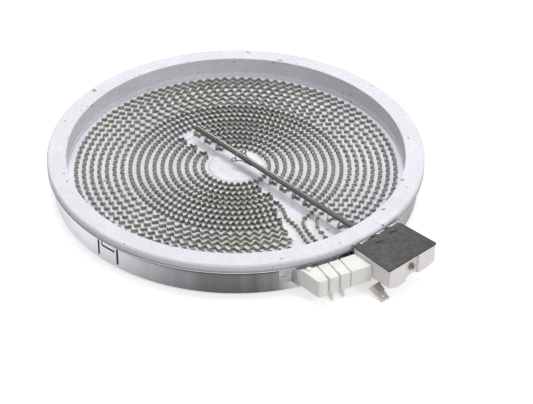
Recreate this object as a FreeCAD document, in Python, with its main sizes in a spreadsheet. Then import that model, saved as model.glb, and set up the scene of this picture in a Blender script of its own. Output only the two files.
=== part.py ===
import FreeCAD, Part
import math
import os
import Sketcher

# Radiant element for a glass ceramic hob: two heating circuits of corrugated ribbon in an
# insulated sheet pan, watched by a rod-type temperature limiter and fed through a terminal block.
# The frame has its origin at the centre of the pan's underside, +Z up towards the glass and +X
# along the limiter tube, from the centre to the limiter's head. All lengths are in millimetres.

doc = FreeCAD.newDocument("radiant_element")
sheet = doc.addObject("Spreadsheet::Sheet", "Sizes")


# Driving dimensions: name, value, meaning

DRIVING = [
    ("pan_radius", 111.4, "outer radius of the pan's wall"),
    ("pan_height", 18.3, "height of the pan's lip"),
    ("pan_sheet", 0.5, "sheet of the pan"),
    ("pan_corner", 1.0, "outer radius of the pan's bottom corner"),
    ("pan_lip", 3.3, "width of the lip turned outwards"),
    ("packing_fit", 0.3, "room between the pan and the insulation"),
    ("tongue_place", 4.0, "place of the tongue's first slit along the pan's front"),
    ("tongue_width", 15.0, "width of the sprung tongue in the pan's wall"),
    ("tongue_bottom", 3.4, "height of the foot of the tongue's slits"),
    ("tongue_margin", 1.3, "wall left between the tongue's slits and the pan's lip"),
    ("slit_width", 0.8, "width of the slits"),
    ("floor_height", 9.5, "height of the floor that carries the ribbons"),
    ("lead_room", 0.3, "room above the leads where they pass under the ring"),
    ("rim_width", 8.0, "width of the base's rim"),
    ("dome_radius", 17.3, "foot radius of the raised centre"),
    ("dome_rise", 1.4, "rise of the centre over the floor"),
    ("dome_edge", 2.2, "width of the centre's sloping edge"),
    ("trough_width", 5.6, "width of the trough under the limiter tube"),
    ("trough_side", -0.4, "sideways place of that trough"),
    ("trough_depth", 0.9, "depth of that trough"),
    ("trough_margin", 0.6, "flat floor left between the trough's ends and the centre or the rim"),
    ("hollow_depth", 2.0, "depth of the hollow at the trough's outer end"),
    ("hollow_length", 21.0, "length of that hollow"),
    ("ring_overhang", 3.6, "reach of the insulating ring past the pan's wall"),
    ("ring_rise", 5.2, "height of the ring above the pan's lip"),
    ("ring_step", 0.7, "how much wider the ring's bore is than the base's rim"),
    ("ring_draft", 0.5, "how much narrower the ring's bore is at its foot"),
    ("ring_round", 0.9, "rounding of the ring's outer edge"),
    ("ribbon_width", 3.0, "height of the ribbon standing on its edge"),
    ("ribbon_sheet", 0.35, "thickness of the ribbon"),
    ("inner_first", 20.4, "radius of the innermost turn"),
    ("inner_share", 0.574, "share of the windings' width that the inner circuit takes"),
    ("zone_gap", 4.9, "step between the two circuits"),
    ("coil_edge_gap", 4.8, "room between the outermost turn and the rim"),
    ("inner_pitch", 4.93, "step between the inner turns, stretched to fill their width"),
    ("outer_pitch", 4.68, "step between the outer turns, stretched to fill their width"),
    ("inner_crimp", 2.6, "depth of the inner ribbon's waves"),
    ("outer_crimp", 2.8, "depth of the outer ribbon's waves"),
    ("inner_wave", 20.0, "length of a wave of the inner ribbon"),
    ("outer_wave", 28.0, "length of a wave of the outer ribbon"),
    ("gap_above", 3.3, "reach of the clear gap towards +Y"),
    ("gap_below", 4.6, "reach of the clear gap towards -Y"),
    ("bay_depth", 9.8, "reach of the leads' bay towards -Y at the first turn past the gap"),
    ("bay_slope", 0.457, "growth of that reach with the turn's radius"),
    ("gap_end_room", 9.2, "room past the tube's tip before the turns run through"),
    ("tube_radius", 1.75, "outer radius of the limiter tube"),
    ("tube_wall", 0.4, "wall of the limiter tube"),
    ("tube_rise", 0.9, "height of the tube's axis above the pan's lip"),
    ("tube_shift", 1.5, "sideways place of the tube's axis"),
    ("tube_reach", 38.0, "reach of the tube past the centre"),
    ("tube_room", 0.4, "room round the tube where it passes a wall"),
    ("rod_radius", 1.0, "radius of the expansion rod"),
    ("clip_wire", 0.9, "diameter of the clip's wire"),
    ("eyelet_radius", 1.25, "mean radius of the clip's eyelets"),
    ("head_gap", 2.0, "gap between the ring and the limiter's head"),
    ("head_length", 28.4, "length of the head along the tube"),
    ("head_near_side", 14.8, "reach of the head towards the terminal block"),
    ("head_far_side", 22.4, "reach of the head the other way"),
    ("head_depth", 12.0, "depth of the head's sides below its cover"),
    ("head_belly", 2.6, "sag of the head's rounded underside"),
    ("head_wall", 2.6, "wall of the head"),
    ("cavity_depth", 9.6, "depth of the head's cavity below its cover"),
    ("plate_rise", 4.1, "height of the cover's top above the pan's lip"),
    ("plate_sheet", 0.8, "sheet of the cover plate"),
    ("plate_flare", 0.9, "widening of the plate towards its outer edge"),
    ("screw_radius", 1.2, "radius of the calibrating screw"),
    ("screw_side", 3.6, "sideways place of the calibrating screw"),
    ("screw_drop", 3.6, "how far the calibrating screw lies below the tube"),
    ("nut_radius", 2.2, "radius of the lock nut"),
    ("recess_depth", 1.5, "depth of the screw's recess"),
    ("recess_width", 9.9, "width of the screw's recess"),
    ("bracket_gap", 0.4, "gap between the ring and the limiter bracket"),
    ("bracket_sheet", 0.8, "sheet of the limiter bracket"),
    ("bracket_drop", 0.2, "how far the bracket's top lies below the cover's top"),
    ("ear_rise", 1.2, "rise of the bracket's ears above its top"),
    ("block_turn", -14.5, "direction of the terminal block round the pan, in degrees"),
    ("block_gap", 2.8, "gap between the ring and the block's back"),
    ("block_depth", 13.4, "depth of the block away from the pan"),
    ("block_drop", 2.1, "depth of the block below the ribbons' floor"),
    ("block_height", 11.2, "height of the block"),
    ("block_left", 16.0, "reach of the block's front away from the head"),
    ("block_slant", 3.6, "slant of the block's free end"),
    ("block_heel", 1.8, "reach of the block's heel behind its back"),
    ("block_side_gap", 0.3, "gap between the block and the head"),
    ("slot_pitch", 7.1, "step between the block's slots"),
    ("slot_first", -9.6, "sideways place of the first slot"),
    ("slot_width", 0.8, "width of the block's slots"),
    ("slot_depth", 1.6, "depth of the slots in the block's top"),
    ("mouth_width", 1.5, "width of the wire mouths in the block's front"),
    ("mouth_depth", 4.0, "depth of those mouths"),
    ("blade_sheet", 0.8, "thickness of the terminal blades"),
    ("blade_width", 6.3, "width of the terminal blades"),
    ("blade_inset", 1.0, "wall of the block in front of the blades"),
    ("blade_tip", 0.4, "height of the blades' tips"),
    ("blade_room", 0.15, "room round a blade in its channel"),
    ("strap_sheet", 0.5, "sheet of the block's strap"),
    ("strap_drop", 0.8, "reach of the strap below the block"),
    ("window_room", 1.6, "room beside the leads in their window"),
    ("tab_slope", 27.0, "slope of the limiter's spade tab, in degrees"),
    ("tab_length", 10.6, "length of that tab along its slope"),
    ("tab_tip", 0.2, "height of that tab's tip"),
    ("clip_arm", 24.0, "length of the clip's long arm beside the tube"),
    ("collar_length", 1.4, "thickness of the collar round the tube in the head"),
    ("rod_bare", 7.0, "bare length of the rod inside the head"),
    ("pin_length", 2.6, "length of the push pin"),
    ("switch_depth", 14.4, "distance from the cavity's inner wall to the spade tab's leg"),
    ("spring_sheet", 0.35, "sheet of the switch's spring"),
    ("spring_width", 3.2, "width of the switch's spring"),
    ("post_place", 20.0, "place of the spring's post along the cavity"),
    ("post_width", 5.0, "width of the spring's post"),
    ("contact_place", 4.0, "place of the contacts along the cavity"),
    ("contact_radius", 1.4, "radius of the contacts"),
    ("contact_height", 0.8, "height of each contact"),
    ("nut_length", 2.4, "length of the lock nut"),
    ("thread_end", 1.0, "thread that stands out of the nut"),
    ("thread_inside", 3.0, "reach of the calibrating screw into the head's cavity"),
    ("link_inset", 2.4, "distance of the link's bar from the block's back"),
    ("link_level", 1.4, "height of the link's tongue above the head's floor"),
    ("link_height", 3.0, "height of the link's tongue where it enters the head"),
    ("chamber_depth", 4.2, "depth of the link's chamber in the block"),
    ("chamber_room", 1.4, "room beside the link's tails in that chamber"),
    ("tab_shoulder", 5.2, "length of the spade tab's wider root"),
    ("tab_leg_width", 2.8, "width of the spade tab's leg"),
    ("tab_hole", 0.9, "radius of the hole in the spade tab"),
    ("strap_foot", 7.6, "length of the strap's foot along the pan's wall"),
    ("knob_radius", 1.5, "radius of the block's small knob"),
    ("plug_length", 3.0, "length of the tip plug in the tube"),
    ("plug_rise", 0.6, "how far the tip plug stands out of the tube"),
    ("bracket_tab", 5.4, "length of the bracket's tabs"),
    ("bracket_opening", 2.9, "width of the openings in the bracket's wall"),
    ("tab_inset", 2.6, "distance of the spade tab's edge from the head's side"),
    ("rivet_radius", 1.1, "radius of the rivets' heads"),
    ("rivet_rise", 0.3, "how far the rivets' heads stand out of the strap"),
]
for row, (alias, value, meaning) in enumerate(DRIVING, start=1):
    sheet.set("A%d" % row, alias)
    sheet.set("B%d" % row, repr(value))
    sheet.set("C%d" % row, meaning)
    sheet.setAlias("B%d" % row, alias)
doc.recompute()

# Count of the block's slots

SLOTS = 3


class Size:
    """A length with its present value and the formula that ties it to the sheet."""

    def __init__(self, value, text):
        self.value = value
        self.text = text

    def __add__(self, other):
        other = as_size(other)
        return Size(self.value + other.value, "(%s + %s)" % (self.text, other.text))

    def __radd__(self, other):
        return as_size(other) + self

    def __sub__(self, other):
        other = as_size(other)
        return Size(self.value - other.value, "(%s - %s)" % (self.text, other.text))

    def __rsub__(self, other):
        return as_size(other) - self

    def __mul__(self, other):
        other = as_size(other)
        return Size(self.value * other.value, "(%s * %s)" % (self.text, other.text))

    def __rmul__(self, other):
        return as_size(other) * self

    def __truediv__(self, other):
        other = as_size(other)
        return Size(self.value / other.value, "(%s / %s)" % (self.text, other.text))

    def __neg__(self):
        return Size(-self.value, "(0 - %s)" % self.text)


def as_size(number):
    """Any plain number as a size of its own."""
    if isinstance(number, Size):
        return number
    return Size(float(number), "%.6g" % number)


def root(size):
    """Square root of a size."""
    return Size(math.sqrt(size.value), "sqrt(%s)" % size.text)


def sine(size):
    """Sine of an angle in degrees."""
    return Size(math.sin(math.radians(size.value)), "sin(%s)" % size.text)


def cosine(size):
    """Cosine of an angle in degrees."""
    return Size(math.cos(math.radians(size.value)), "cos(%s)" % size.text)


def cell(alias):
    """The sheet's value of that name."""
    return Size(float(sheet.get(alias)), "Sizes." + alias)


turn = cell("block_turn")

# Ways to make and bind the pieces

NODES = []


def bind(thing, prop, size):
    """Ties a property of an object to a size."""
    size = as_size(size)
    thing.setExpression(prop, size.text)


def node(thing, name):
    """Takes a finished object into the list of pieces."""
    thing.Label = name
    NODES.append((name, thing))
    return thing


def new_body(name):
    """An empty body that becomes a piece."""
    body = doc.addObject("PartDesign::Body", name + "_body")
    return body


def origin_plane(body, role):
    """The body's own plane of that role."""
    for feature in body.Origin.OriginFeatures:
        if feature.Role == role:
            return feature
    raise ValueError("no plane " + role)


def new_sketch(body, role, name, offset=0.0, turned=None):
    """A sketch on one of the body's planes, moved along its normal and turned in the plane."""
    sketch = body.newObject("Sketcher::SketchObject", name)
    sketch.AttachmentSupport = [(origin_plane(body, role), "")]
    sketch.MapMode = "FlatFace"
    sketch.setExpression(".AttachmentOffset.Base.z", as_size(offset).text)
    if turned is not None:
        sketch.AttachmentOffset = FreeCAD.Placement(
            FreeCAD.Vector(0, 0, 0), FreeCAD.Rotation(FreeCAD.Vector(0, 0, 1), turned.value))
        sketch.setExpression(".AttachmentOffset.Rotation.Angle", turned.text)
    return sketch


def pin_point(sketch, geometry, position, point):
    """Fixes one point of a sketch at a pair of sizes."""
    for kind, size in (("DistanceX", point[0]), ("DistanceY", point[1])):
        size = as_size(size)
        index = sketch.addConstraint(Sketcher.Constraint(kind, -1, 1, geometry, position, size.value))
        sketch.setExpression("Constraints[%d]" % index, size.text)


def outline(sketch, points):
    """A closed outline of straight runs through a list of points."""
    count = len(points)
    places = []
    for x, y in points:
        places.append(FreeCAD.Vector(as_size(x).value, as_size(y).value, 0))
    first = sketch.GeometryCount
    for i in range(count):
        sketch.addGeometry(Part.LineSegment(places[i], places[(i + 1) % count]), False)
    for i in range(count):
        nxt = first + (i + 1) % count
        sketch.addConstraint(Sketcher.Constraint("Coincident", first + i, 2, nxt, 1))
    for i in range(count):
        pin_point(sketch, first + i, 1, points[i])


def box_outline(sketch, x0, x1, y0, y1):
    """A rectangle between two pairs of sizes."""
    outline(sketch, [(x0, y0), (x1, y0), (x1, y1), (x0, y1)])


def ring_outline(sketch, x, y, radius):
    """A circle about a point."""
    centre = FreeCAD.Vector(as_size(x).value, as_size(y).value, 0)
    radius = as_size(radius)
    index = sketch.GeometryCount
    sketch.addGeometry(Part.Circle(centre, FreeCAD.Vector(0, 0, 1), radius.value), False)
    pin_point(sketch, index, 3, (x, y))
    bound = sketch.addConstraint(Sketcher.Constraint("Radius", index, radius.value))
    sketch.setExpression("Constraints[%d]" % bound, radius.text)


def pad(body, sketch, length, name, reverse=False, middle=False):
    """Adds the sketch's area times a length."""
    feature = body.newObject("PartDesign::Pad", name)
    feature.Profile = sketch
    feature.Reversed = reverse
    feature.Midplane = middle
    bind(feature, "Length", length)
    sketch.Visibility = False
    return feature


def pocket(body, sketch, length, name, reverse=False, middle=False):
    """Takes away the sketch's area times a length."""
    feature = body.newObject("PartDesign::Pocket", name)
    feature.Profile = sketch
    feature.Reversed = reverse
    feature.Midplane = middle
    bind(feature, "Length", length)
    return feature


def revolve(body, sketch, name):
    """Turns the sketch's area once round the sketch's upright axis."""
    feature = body.newObject("PartDesign::Revolution", name)
    feature.Profile = sketch
    feature.ReferenceAxis = (sketch, ["V_Axis"])
    feature.Angle = 360.0
    return feature


def turn_to_block(thing):
    """Turns a piece that is laid out along +X to the block's direction."""
    thing.Placement = FreeCAD.Placement(
        FreeCAD.Vector(0, 0, 0), FreeCAD.Rotation(FreeCAD.Vector(0, 0, 1), turn.value))
    thing.setExpression(".Placement.Rotation.Angle", turn.text)


def place(thing, x, y, z):
    """Ties an object's place to three sizes."""
    for axis, size in (("x", x), ("y", y), ("z", z)):
        thing.setExpression(".Placement.Base." + axis, as_size(size).text)


def rod_along_x(name, x0, length, radius, y, z):
    """A cylinder along +X."""
    rod = doc.addObject("Part::Cylinder", name)
    bind(rod, "Radius", radius)
    bind(rod, "Height", length)
    rod.Placement = FreeCAD.Placement(
        FreeCAD.Vector(0, 0, 0), FreeCAD.Rotation(FreeCAD.Vector(0, 1, 0), 90))
    place(rod, x0, y, z)
    return rod


def block_of(name, x0, x1, y0, y1, z0, z1):
    """A plain box between six sizes."""
    box = doc.addObject("Part::Box", name)
    bind(box, "Length", as_size(x1) - x0)
    bind(box, "Width", as_size(y1) - y0)
    bind(box, "Height", as_size(z1) - z0)
    place(box, x0, y0, z0)
    return box


def cut(name, base, tool):
    """One solid less another."""
    result = doc.addObject("Part::Cut", name)
    result.Base = base
    result.Tool = tool
    return result


def join(name, parts):
    """Several solids made into one."""
    result = doc.addObject("Part::MultiFuse", name)
    result.Shapes = parts
    return result


def flat_strip(points, thickness):
    """Outline of a thin sheet that follows a path of straight runs, seen on its edge."""
    left = []
    right = []
    last = len(points) - 1
    for i, point in enumerate(points):
        before = points[i] - points[i - 1] if i > 0 else points[1] - points[0]
        after = points[i + 1] - points[i] if i < last else before
        before = before.normalize()
        after = FreeCAD.Vector(after).normalize()
        n0 = FreeCAD.Vector(-before.y, before.x, 0)
        n1 = FreeCAD.Vector(-after.y, after.x, 0)
        mitre = (n0 + n1) * (thickness / 2 / (1 + n0.dot(n1)))
        left.append(point + mitre)
        right.append(point - mitre)
    return left + right[::-1]


def standing_sheet(name, points, thickness, z0, height):
    """A thin sheet on its edge: its path at z0, raised by a height."""
    outline_points = flat_strip([FreeCAD.Vector(p.x, p.y, z0.value) for p in points], thickness.value)
    trace = doc.addObject("Part::Feature", name + "_trace")
    trace.Shape = Part.Face(Part.makePolygon(outline_points + outline_points[:1]))
    raised = doc.addObject("Part::Extrusion", name)
    raised.Base = trace
    raised.DirMode = "Custom"
    raised.Dir = FreeCAD.Vector(0, 0, 1)
    raised.Solid = True
    bind(raised, "LengthFwd", height)
    return raised


# Sizes that several pieces share

pan_inside = cell("pan_radius") - cell("pan_sheet")
packing_radius = pan_inside - cell("packing_fit")
under_lip = cell("pan_height") - cell("pan_sheet") - 0.1
rim_radius = packing_radius - cell("rim_width")
lead_top = cell("floor_height") + cell("ribbon_width")
rim_height = lead_top + cell("lead_room")
outer_last = rim_radius - cell("coil_edge_gap")
inner_last = cell("inner_first") + (outer_last - cell("inner_first")) * cell("inner_share")
dome_top = cell("floor_height") + cell("dome_rise")
ring_radius = cell("pan_radius") + cell("ring_overhang")
ring_top = cell("pan_height") + cell("ring_rise")
ring_bore = rim_radius + cell("ring_step")
rod_side = cell("tube_shift")
rod_level = cell("pan_height") + cell("tube_rise")
plate_top = cell("pan_height") + cell("plate_rise")
plate_under = plate_top - cell("plate_sheet")
head_face = ring_radius + cell("head_gap")
head_back = head_face + cell("head_length")
head_bottom = plate_under - cell("head_depth")
head_floor = plate_under - cell("cavity_depth")
recess_face = head_back - cell("recess_depth")
screw_level = rod_level - cell("screw_drop")
bracket_face = ring_radius + cell("bracket_gap")
bracket_top = plate_top - cell("bracket_drop")
block_back = ring_radius + cell("block_gap")
block_front = block_back + cell("block_depth")
block_bottom = cell("floor_height") - cell("block_drop")
block_top = block_bottom + cell("block_height")
strap_low = block_bottom - cell("strap_drop")
blade_out = block_front - cell("blade_inset")
blade_in = blade_out - cell("blade_width")
blade_places = [cell("slot_first") + cell("slot_pitch") * share for share in (0.54, 1.54)]
link_places = [cell("slot_first") + cell("slot_pitch") * share for share in (2.32, 2.88)]
window_low = blade_places[0] - cell("blade_sheet") - cell("window_room")
window_high = link_places[1] + cell("window_room")

def pan():
    """Drawn sheet pan with a lip turned outwards, a window for the leads and a sprung tongue."""
    body = new_body("pan")
    r = cell("pan_radius")
    c = cell("pan_corner")
    s = cell("pan_sheet")
    top = cell("pan_height")
    lip = r + cell("pan_lip")
    sketch = new_sketch(body, "XZ_Plane", "pan_profile")
    outline(sketch, [
        (0, 0), (r - c, 0), (r, c), (r, top - s), (lip, top - s), (lip, top),
        (r - s, top), (r - s, c), (r - c, s), (0, s)])
    revolve(body, sketch, "pan_shell")
    window = new_sketch(body, "XY_Plane", "pan_window", rim_height + 0.3, turned=turn)
    box_outline(window, r - 6, r + 1, window_low, window_high)
    pocket(body, window, rim_height - cell("floor_height") + 0.6, "pan_window_cut")
    notch = new_sketch(body, "YZ_Plane", "pan_notch")
    reach = cell("tube_radius") + 3 * cell("tube_room")
    box_outline(notch, rod_side - reach, rod_side + reach, rod_level - reach, top + 1)
    pocket(body, notch, lip + 1, "pan_notch_cut", reverse=True)
    slit = cell("slit_width")
    x0 = cell("tongue_place")
    x1 = x0 + cell("tongue_width")
    low = cell("tongue_bottom")
    high = cell("pan_height") - cell("tongue_margin")
    middle = (low + high) / 2 + 1.2
    slits = new_sketch(body, "XZ_Plane", "pan_slits")
    box_outline(slits, x0, x0 + slit, low, high)
    box_outline(slits, x1, x1 + slit, low, high)
    box_outline(slits, x0 + 4 * slit, x1 - 2 * slit, middle, middle + slit)
    pocket(body, slits, r + 1, "pan_slits_cut", reverse=True)
    return node(body, "pan")


def insulation_base():
    """Moulded base: a floor for the ribbons, a raised centre, a rim and a trough below the tube."""
    body = new_body("base")
    r = packing_radius
    c = cell("pan_corner")
    s = cell("pan_sheet")
    floor = cell("floor_height")
    rim = rim_radius
    dome = cell("dome_radius")
    edge = cell("dome_edge")
    rise = cell("dome_rise")
    sketch = new_sketch(body, "XZ_Plane", "base_profile")
    outline(sketch, [
        (0, s), (r - c, s), (r, s + c), (r, rim_height),
        (rim, rim_height), (rim, floor), (dome, floor), (dome - 0.3 * edge, floor + 0.35 * rise),
        (dome - 0.7 * edge, floor + 0.85 * rise), (dome - 1.3 * edge, floor + rise), (0, floor + rise)])
    revolve(body, sketch, "base_form")
    half = cell("trough_width") / 2
    side = cell("trough_side")
    deep = cell("trough_depth")
    margin = cell("trough_margin")
    near_end = dome + margin
    rim_end = rim - margin
    far_end = cell("tube_reach") + cell("gap_end_room") - 4
    for name, start, length, depth, far in (
            ("right_trough", near_end, rim_end - near_end, deep, True),
            ("left_trough", -near_end, far_end - near_end, deep, False),
            ("hollow", rim_end - cell("hollow_length"), cell("hollow_length"), cell("hollow_depth"), True)):
        trough = new_sketch(body, "YZ_Plane", name, start)
        slope = 0.5 * half
        outline(trough, [
            (side - half, floor), (side - half + 0.3 * slope, floor - 0.6 * depth),
            (side - half + slope, floor - depth), (side + half - slope, floor - depth),
            (side + half - 0.3 * slope, floor - 0.6 * depth), (side + half, floor)])
        pocket(body, trough, length, name + "_cut", reverse=far)
    window = new_sketch(body, "XY_Plane", "rim_window", rim_height, turned=turn)
    box_outline(window, rim - 6, r + 1, window_low, window_high)
    pocket(body, window, rim_height - floor, "rim_window_cut")
    return node(body, "insulation_base")


def insulation_ring():
    """Ring of insulation that stands in the pan, hangs over its lip and meets the glass."""
    body = new_body("ring")
    r = ring_radius
    top = ring_top
    bore = ring_bore
    soft = cell("ring_round")
    lip = cell("pan_height")
    sketch = new_sketch(body, "XZ_Plane", "ring_profile")
    outline(sketch, [
        (bore - cell("ring_draft"), rim_height), (packing_radius, rim_height),
        (packing_radius, lip), (r, lip), (r, top - soft), (r - soft, top), (bore, top)])
    revolve(body, sketch, "ring_form")
    bore_sketch = new_sketch(body, "YZ_Plane", "ring_tube_hole")
    ring_outline(bore_sketch, rod_side, rod_level, cell("tube_radius") + cell("tube_room"))
    pocket(body, bore_sketch, r + 1, "ring_tube_cut", reverse=True)
    return node(body, "insulation_ring")


# The heating ribbons: rings joined end to end at the gap under the tube

def polar(radius, angle):
    """Point at a radius and an angle in degrees."""
    return FreeCAD.Vector(radius * math.cos(math.radians(angle)), radius * math.sin(math.radians(angle)), 0)


def from_block(x, y):
    """Point given in the terminal block's own directions."""
    away = polar(1, turn.value)
    return FreeCAD.Vector(away.x * x - away.y * y, away.y * x + away.x * y, 0)


def crimped_arc(radius, start, end, wave, depth, phase):
    """Corners of a crimped ring between two angles."""
    length = abs(math.radians(end - start)) * radius
    steps = max(2, round(length / (wave / 2)))
    points = []
    for i in range(steps):
        swing = depth / 2 * (1 if (i + phase) % 2 else -1)
        points.append(polar(radius + swing, start + (end - start) * (i + 0.5) / steps))
    return points


def crimped_line(start, end, wave, depth):
    """Corners of a crimped straight run."""
    run = end - start
    steps = max(1, round(run.Length / (wave / 2)))
    side = FreeCAD.Vector(-run.y, run.x, 0).normalize()
    points = []
    for i in range(steps):
        swing = depth / 2 * (1 if i % 2 else -1)
        points.append(start + run * ((i + 0.5) / steps) + side * swing)
    return points


def course_points(runs, wave, depth):
    """Corners of all rings in order, with a plain turn from each ring to the next."""
    points = []
    for index, (radius, start, end) in enumerate(runs):
        points += crimped_arc(radius, start, end, wave, depth, index)
        if index + 1 < len(runs):
            following = runs[index + 1][0]
            middle = (radius + following) / 2
            half = abs(following - radius) / 2
            ahead = math.copysign(math.degrees(half / middle), end - start)
            points.append(polar(radius, end))
            points.append(polar(middle, end + ahead))
            points.append(polar(following, end))
    return points


def gap_angle(radius, reach, left):
    """Angle at which a ring ends, a reach away from the gap's middle, plus half a turn."""
    angle = math.degrees(math.asin(reach / radius))
    return 180 - angle if left else angle


def inner_rings():
    """Radii of the inner circuit's turns, and how many of them the gap cuts on both sides."""
    first = cell("inner_first").value
    span = inner_last.value - first
    steps = round(span / cell("inner_pitch").value)
    tip = cell("tube_reach").value + cell("gap_end_room").value
    for tried in (steps, steps + 1, steps - 1):
        radii = [first + span / tried * k for k in range(tried + 1)]
        split = sum(1 for radius in radii if radius < tip)
        if (len(radii) - split) % 2 == 0:
            break
    return radii, split


def outer_rings():
    """Radii of the outer circuit's turns, always an odd number of them."""
    first = (inner_last + cell("zone_gap")).value
    span = outer_last.value - first
    steps = 2 * round(span / cell("outer_pitch").value / 2)
    return [first + span / steps * k for k in range(steps + 1)]


def upper(radius, step, left=False):
    """Where a turn ends on the +Y side of the gap."""
    return gap_angle(radius, cell("gap_above").value + step / 2, left)


def lower(radius, step, split, left=False):
    """Where a turn ends on the -Y side, which widens into the leads' bay past the split rings."""
    reach = cell("gap_below").value
    if radius > split:
        reach = cell("bay_depth").value + cell("bay_slope").value * (radius - split)
    angle = gap_angle(radius, -reach - step / 2, left)
    return angle if left else 360 + angle


def inner_course(radii, split):
    """Runs of the inner circuit from its lead on the -Y side to its lead on the +Y side."""
    step = radii[1] - radii[0]
    edge = radii[split - 1] + step / 4
    runs = []
    angle = lower(radii[split - 1], step, edge)
    going = -1
    for k in range(split - 1, 0, -1):
        end = lower(radii[k] - step / 2, step, edge, left=going < 0)
        runs.append((radii[k], angle, end))
        angle = end
        going = -going
    end = upper(radii[0] + step / 2, step, left=going > 0)
    runs.append((radii[0], angle, end + 360 if going > 0 else end))
    angle = end
    going = -going
    for k in range(1, len(radii)):
        between = radii[k] + step / 2 if k + 1 < len(radii) else radii[k]
        if k < split:
            end = upper(between, step, left=going > 0)
        elif going > 0:
            end = lower(between, step, edge)
        else:
            end = upper(between, step)
        runs.append((radii[k], angle, end))
        angle = end
        going = -going
    return runs


def outer_course(radii, edge):
    """Runs of the outer circuit, ring by ring, round and back."""
    step = radii[1] - radii[0]
    runs = []
    angle = upper(radii[0], step)
    going = 1
    for k, radius in enumerate(radii):
        between = radius + step / 2 if k + 1 < len(radii) else radius
        end = lower(between, step, edge) if going > 0 else upper(between, step)
        runs.append((radius, angle, end))
        angle = end
        going = -going
    return runs


# Bends of the leads between the rings' ends and the window, chosen by hand: how far along the
# straight way, as a share of it, and how far to its left, in millimetres

LEAD_BENDS = {
    "inner_low": [(0.15, 0.0), (0.3, -1.4), (0.48, 0.2), (0.74, -0.4)],
    "inner_high": [(0.12, -4.5), (0.26, -9.2), (0.45, -8.8), (0.7, -5.2)],
    "outer_high": [(0.15, -3.6), (0.38, -4.9), (0.63, -1.9)],
    "outer_low": [(0.64, 0.7)],
}


def lead_points(name, start, side, wave, depth):
    """A lead from a ring's end through the window to its terminal, crimped up to the rim."""
    stop = from_block(rim_radius.value - 1.6, side)
    run = stop - start
    left = FreeCAD.Vector(-run.y, run.x, 0).normalize()
    stops = [start] + [start + run * along + left * aside for along, aside in LEAD_BENDS[name]] + [stop]
    points = []
    for i in range(len(stops) - 1):
        points += crimped_line(stops[i], stops[i + 1], wave, depth)
    points.append(stop)
    points.append(from_block(packing_radius.value - 0.5, side))
    return points


def lead_side(terminal):
    """Sideways place of a lead that lies flat against its terminal."""
    return (terminal - cell("blade_sheet") / 2 - cell("ribbon_sheet") / 2).value


def heating_ribbons():
    """The two ribbons, each one strip on its edge from lead to lead."""
    radii, split = inner_rings()
    edge = radii[split - 1] + (radii[1] - radii[0]) / 4
    wave = cell("inner_wave").value
    depth = cell("inner_crimp").value
    runs = inner_course(radii, split)
    start = lead_points("inner_low", polar(runs[0][0], runs[0][1]), lead_side(blade_places[1]), wave, depth)
    end = lead_points("inner_high", polar(runs[-1][0], runs[-1][2]), lead_side(link_places[0]), wave, depth)
    points = start[::-1] + course_points(runs, wave, depth) + end
    ribbon = standing_sheet("inner_ribbon", points, cell("ribbon_sheet"), cell("floor_height"),
                            cell("ribbon_width"))
    node(ribbon, "inner_heating_ribbon")
    wave = cell("outer_wave").value
    depth = cell("outer_crimp").value
    runs = outer_course(outer_rings(), edge)
    start = lead_points("outer_high", polar(runs[0][0], runs[0][1]), lead_side(link_places[1]), wave, depth)
    end = lead_points("outer_low", polar(runs[-1][0], runs[-1][2]), lead_side(blade_places[0]), wave, depth)
    points = start[::-1] + course_points(runs, wave, depth) + end
    ribbon = standing_sheet("outer_ribbon", points, cell("ribbon_sheet"), cell("floor_height"),
                            cell("ribbon_width"))
    node(ribbon, "outer_heating_ribbon")


def limiter_tube_set():
    """The tube across the rings, the expansion rod in it, its tip plug, square collar and pin."""
    reach = cell("tube_reach")
    radius = cell("tube_radius")
    bore = radius - cell("tube_wall")
    inside = head_face + cell("head_wall")
    length = reach + inside + 2
    outer = rod_along_x("tube_outside", -reach, length, radius, rod_side, rod_level)
    hollow = rod_along_x("tube_bore", -reach - 1, length + 2, bore, rod_side, rod_level)
    node(cut("tube", outer, hollow), "limiter_tube")
    plug = cell("plug_length")
    spigot = rod_along_x("plug", -reach - cell("plug_rise"), plug + cell("plug_rise"), bore,
                         rod_side, rod_level)
    node(spigot, "tube_tip_plug")
    rod_end = inside + cell("rod_bare")
    rod = rod_along_x("rod", -reach + plug, rod_end + reach - plug, cell("rod_radius"), rod_side, rod_level)
    node(rod, "expansion_rod")
    pin = rod_along_x("pin", rod_end, cell("pin_length"), bore + 0.1, rod_side, rod_level)
    node(pin, "switch_push_pin")
    thick = cell("collar_length")
    reach_round = plate_under - rod_level - 0.1
    flange = block_of("collar_outside", inside, inside + thick, rod_side - reach_round,
                      rod_side + reach_round, rod_level - reach_round, rod_level + reach_round)
    eye = rod_along_x("collar_bore", inside - 1, thick + 2, radius + 0.05, rod_side, rod_level)
    node(cut("collar", flange, eye), "tube_collar")
    return rod_end + cell("pin_length")


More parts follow.
